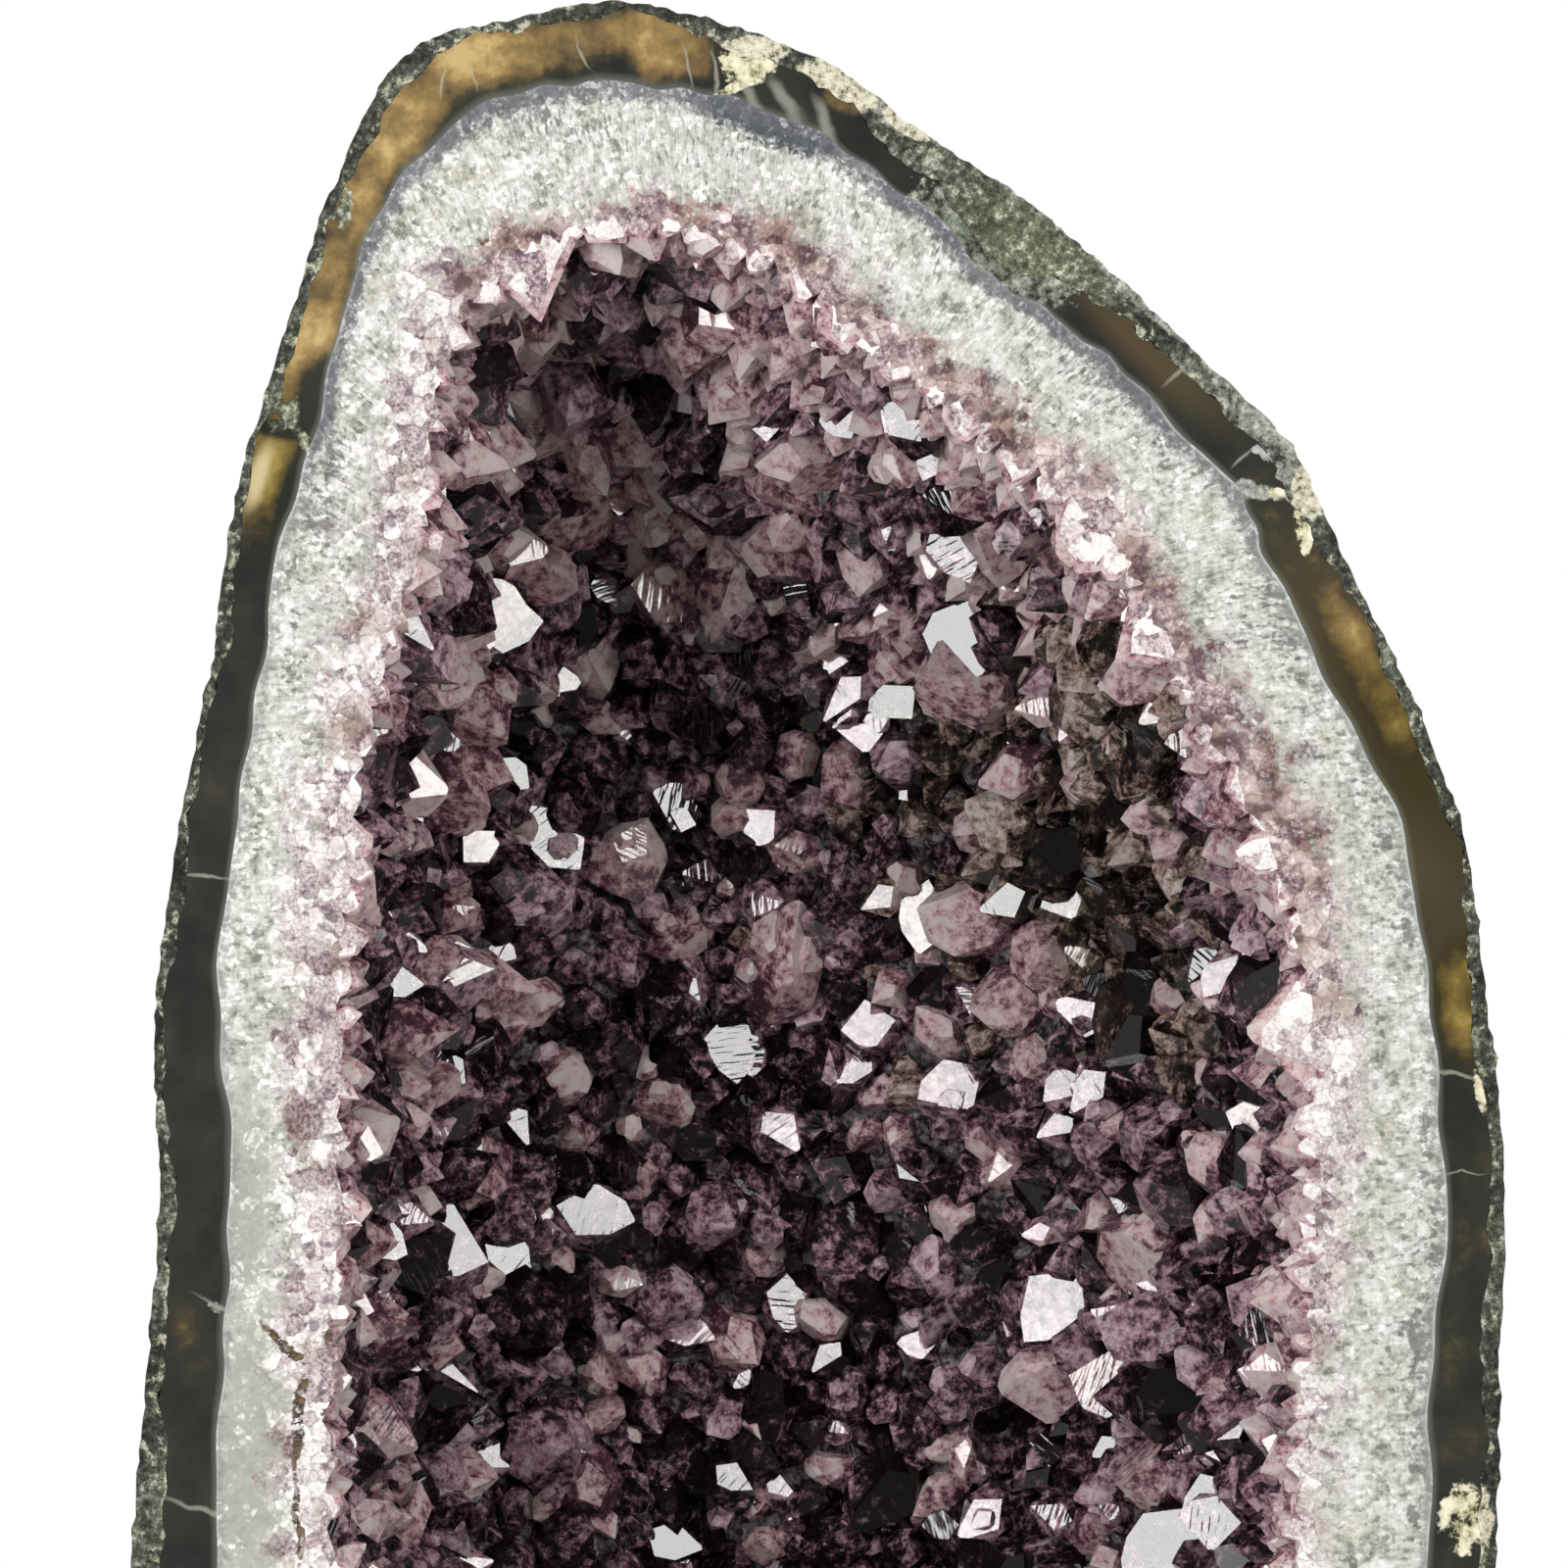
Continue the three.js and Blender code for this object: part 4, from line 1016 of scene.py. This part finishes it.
# One mesh of points that don't touch. The milky hearts of the points are thinner, lower and uneven.
def pointMesh(name, members, templates, finishes, hearts=False):
    pick = np.random.default_rng(5)
    corners, faces, tones, kinds, uvs = [], [], [], [], []
    for point in members:
        template = templates[point["template"]]
        height = point["height"]
        local = template["corners"] * point["radius"]
        if hearts:
            local = template["corners"] * point["radius"] * (0.45 + 0.45 * point["pale"])
            local += pick.uniform(-0.1, 0.1, local.shape) * point["radius"]
            height -= (0.7 - 0.5 * point["pale"]) * point["radius"]
        local[:, 2] = np.where(template["isFoot"], -(height + point["root"]), local[:, 2])
        across = point["axis"].orthogonal().normalized()
        over = point["axis"].cross(across)
        turned = across * math.cos(point["turned"]) + over * math.sin(point["turned"])
        frameOf = np.array([turned, point["axis"].cross(turned), point["axis"]])
        first = len(corners)
        corners.extend(local @ frameOf + np.array(point["at"] + point["axis"] * height))
        for face, normal in zip(template["faces"], template["normals"]):
            faces.append([first + v for v in face])
            # Each face's tone is shifted at random: partly the crystal's uneven colour, partly painted light and
            # shade that makes neighbouring faces lighter and darker as if lit unevenly.
            tones.append(point["pale"] + (0 if hearts else pick.uniform(-0.28, 0.28)))   # no two faces are alike
            kinds.append(1 if hearts else point["kind"])
            sideways = np.array([-normal[1], normal[0], 0]) / max(math.hypot(normal[0], normal[1]), 1e-6)
            uvs.extend((local[v] @ sideways + first * mm, local[v][2]) for v in face)
    mesh = bpy.data.meshes.new(name)
    mesh.from_pydata(corners, [], faces)
    mesh.attributes.new("tone", "FLOAT", "FACE").data.foreach_set("value", tones)
    mesh.uv_layers.new(name="grain").data.foreach_set("uv", np.array(uvs).ravel())
    for finish in finishes:
        mesh.materials.append(finish)
    mesh.polygons.foreach_set("material_index", kinds)
    piece = bpy.data.objects.new(name, mesh)
    bpy.context.scene.collection.objects.link(piece)
    if hearts:
        finishModifier(piece, "TRIANGULATE")   # their uneven faces aren't flat
    return piece


def joinSets(name, sets, *looks, **more):
    whole = pointMesh(name, sets[0], *looks, **more)
    for members in sets[1:]:
        joinOrCut(whole, pointMesh("set", members, *looks, **more), "UNION")
    return whole


def giveFinish(piece, finishes, index, tone):
    mesh = piece.data
    mesh.materials.clear()
    for finish in finishes:
        mesh.materials.append(finish)
    mesh.polygons.foreach_set("material_index", [index] * len(mesh.polygons))
    mesh.attributes.new("tone", "FLOAT", "FACE").data.foreach_set("value", [tone] * len(mesh.polygons))


# Cuts off what stands out of the front. The block's face towards the stone is in small squares, since one
# sawn face with hundreds of corners would be filled wrongly in places.
def sawFront(piece, depth, index, tone):
    deselectAll()
    thick = 100 * mm
    bpy.ops.mesh.primitive_cube_add(size=1, location=(0, sawPlane + depth - thick / 2, 240 * mm),
                                    scale=(360 * mm, thick, 520 * mm))
    block = bpy.context.object
    bpy.ops.object.transform_apply(location=True, scale=True)
    bpy.ops.object.mode_set(mode="EDIT")
    bpy.ops.mesh.select_mode(type="FACE")
    bpy.ops.mesh.select_all(action="DESELECT")
    bpy.ops.object.mode_set(mode="OBJECT")
    for face in block.data.polygons:
        face.select = face.normal.y > 0.9
    bpy.ops.object.mode_set(mode="EDIT")
    bpy.ops.mesh.subdivide(number_cuts=40)
    bpy.ops.mesh.select_mode(type="VERT")
    bpy.ops.object.mode_set(mode="OBJECT")
    giveFinish(block, piece.data.materials[:], index, tone)
    joinOrCut(piece, block, "DIFFERENCE")


# What a cut left loose is dropped.
def keepLargestPart(piece):
    pickOnly(piece)
    bpy.ops.object.mode_set(mode="EDIT")
    bpy.ops.mesh.select_all(action="SELECT")
    bpy.ops.mesh.separate(type="LOOSE")
    bpy.ops.object.mode_set(mode="OBJECT")
    parts = sorted(bpy.context.selected_objects, key=lambda part: len(part.data.polygons))
    keptMesh = parts[-1].data
    for part in parts:
        if part != piece:
            bpy.data.objects.remove(part)
    piece.data = keptMesh


def makeAmethyst(stone):
    templates = [makeTemplate(number) for number in range(points["templates"])]
    grown = [point for point in growPoints(templates) if point["radius"] > points["smallest"]]
    sets = intoSets(grown)
    print("points", len(grown), "in", len(sets), "sets")

    def skinOuter(turn, angle):
        return crustPoint(turn, angle, boundaries["skinOuter"])

    def skinInner(turn, angle):
        return crustPoint(turn, angle, boundaries["skinInner"])

    def rootInner(turn, angle):
        waver = boundaries["rootWaver"]
        fade = smoothStep(0, 0.5, np.cos(angle))
        depth = boundaries["rootDepth"] + waver["size"] * fade * wavering(turn, waver["lengths"], 21)
        return crustPoint(turn, angle, depth)

    finishes = [clearAmethyst(name) for name in amethystLook["kinds"]]
    clear = joinSets("amethystPoints", sets, templates, finishes)
    skin, _ = makeShell("skin", 96, (10, 2, 18), skinOuter, skinInner, (1.0, 1.0), -0.12)
    giveFinish(skin, finishes, 1, 0.2)
    joinOrCut(clear, skin, "UNION")
    sawFront(clear, 0.15 * mm, 0, 0.7)
    keepLargestPart(clear)
    fitToFrame(clear, "amethyst_crust")

    rootFinishes = [stone, milkyHearts()]
    hearted = [[point for point in members if point["hearted"]] for members in sets]
    hearts = joinSets("hearts", [members for members in hearted if members], templates, rootFinishes, hearts=True)
    sawFront(hearts, 0.02 * mm, 1, 0.85)
    roots, made = makeShell("amethystRoots", 440, (10, 5, 36), crustPoint, rootInner, (1.0, 1.2))
    giveFinish(roots, rootFinishes, 0, 0.15)
    mesh = roots.data
    inHollow = [0 if p.center.y < sawPlane + 0.3 * mm else 1 for p in mesh.polygons]
    mesh.polygons.foreach_set("material_index", inHollow)
    # The ground between the points is toned by nearness to the rim and goes nearly black deep in: partly the deeper
    # colour of the amethyst there, partly painted shade in the gaps between the points.
    nearRim = rimShare(made["turn"], made["place"])
    tones = [0.9 * nearRim[p.vertices[0]] for p in mesh.polygons]
    mesh.attributes["tone"].data.foreach_set("value", tones)
    joinOrCut(roots, hearts, "UNION")
    fitToFrame(roots, "amethyst_crust")


# Softboxes: name, place, width, height, brightness (white paper is 1), strips it is made of, and tint.
studio = {
    "boxes": [
        ("leftKey", (-0.85, -1.3, 0.6), 0.5, 0.5, 14, 1, (0.99, 0.99, 1)),
        ("rightKey", (1.0, -1.22, 0.6), 0.46, 0.46, 14, 1, (0.99, 1, 0.97)),
        ("lowKey", (-0.98, -1.2, 0.2), 0.28, 0.28, 14, 1, (0.98, 1, 0.98)),
        ("topKey", (0.05, -1.2, 1.5), 0.52, 0.34, 13, 1, (1, 0.99, 0.97)),
        ("leftPanel", (-1.5, -0.7, 0.5), 0.9, 0.9, 3, 3, (1, 1, 1)),
        ("rightPanel", (1.5, -0.7, 0.5), 0.9, 0.6, 3, 2, (1, 1, 1)),
    ],
    "ambient": 0.13,
}


def makeStudio():
    scene = bpy.context.scene
    scene.view_settings.view_transform = "Standard"
    camera = bpy.data.objects.new("camera", bpy.data.cameras.new("camera"))
    scene.collection.objects.link(camera)
    camera.location = eye["place"]
    camera.rotation_euler = (math.radians(90), 0, 0)
    camera.data.sensor_width = eye["sensor"]
    camera.data.lens = eye["sensor"] * (sawPlane - eye["place"].y) / eye["frameWidth"]
    scene.camera = camera

    middle = Vector((0, sawPlane, 0.27))
    for name, place, width, height, brightness, strips, tint in studio["boxes"]:
        turned = (middle - Vector(place)).to_track_quat("-Z", "Y")
        thick = height / (2 * strips - 1)
        for strip in range(strips):
            light = bpy.data.objects.new(name, bpy.data.lights.new(name, "AREA"))
            light.data.shape = "RECTANGLE"
            light.data.size = width
            light.data.size_y = thick
            light.data.energy = brightness * math.pi * width * thick
            light.data.color = tint
            light.location = Vector(place) + turned @ Vector((0, (2 * strip - strips + 1) * thick, 0))
            light.rotation_euler = turned.to_euler()
            scene.collection.objects.link(light)

    world = bpy.data.worlds.new("studio")
    scene.world = world
    world.use_nodes = True
    tree = world.node_tree
    tree.nodes.clear()
    path = addNode(tree, "LightPath")
    white = addNode(tree, "Background", {"Color": (1, 1, 1, 1), "Strength": 1.0})
    dim = addNode(tree, "Background", {"Color": (1, 1, 1, 1), "Strength": studio["ambient"]})
    both = addNode(tree, "MixShader", {}, {
        0: path.outputs["Is Camera Ray"], 1: dim.outputs["Background"], 2: white.outputs["Background"]})
    addNode(tree, "OutputWorld", {}, {"Surface": both.outputs["Shader"]})

    deselectAll()
    bpy.ops.mesh.primitive_plane_add(size=1.6)
    floor = bpy.context.object
    floor.name = "floor"
    material, tree = newMaterial("paleFloor")
    paint = addNode(tree, "BsdfPrincipled", {"Base Color": colour("#bdbcb8"), "Roughness": 0.6})
    addNode(tree, "OutputMaterial", {}, {"Surface": paint.outputs["BSDF"]})
    floor.data.materials.append(material)


makeStudio()
makeRind()
makeAgate()
quartzStone = sugaryQuartz()
makeQuartz(quartzStone)
makeAmethyst(quartzStone)
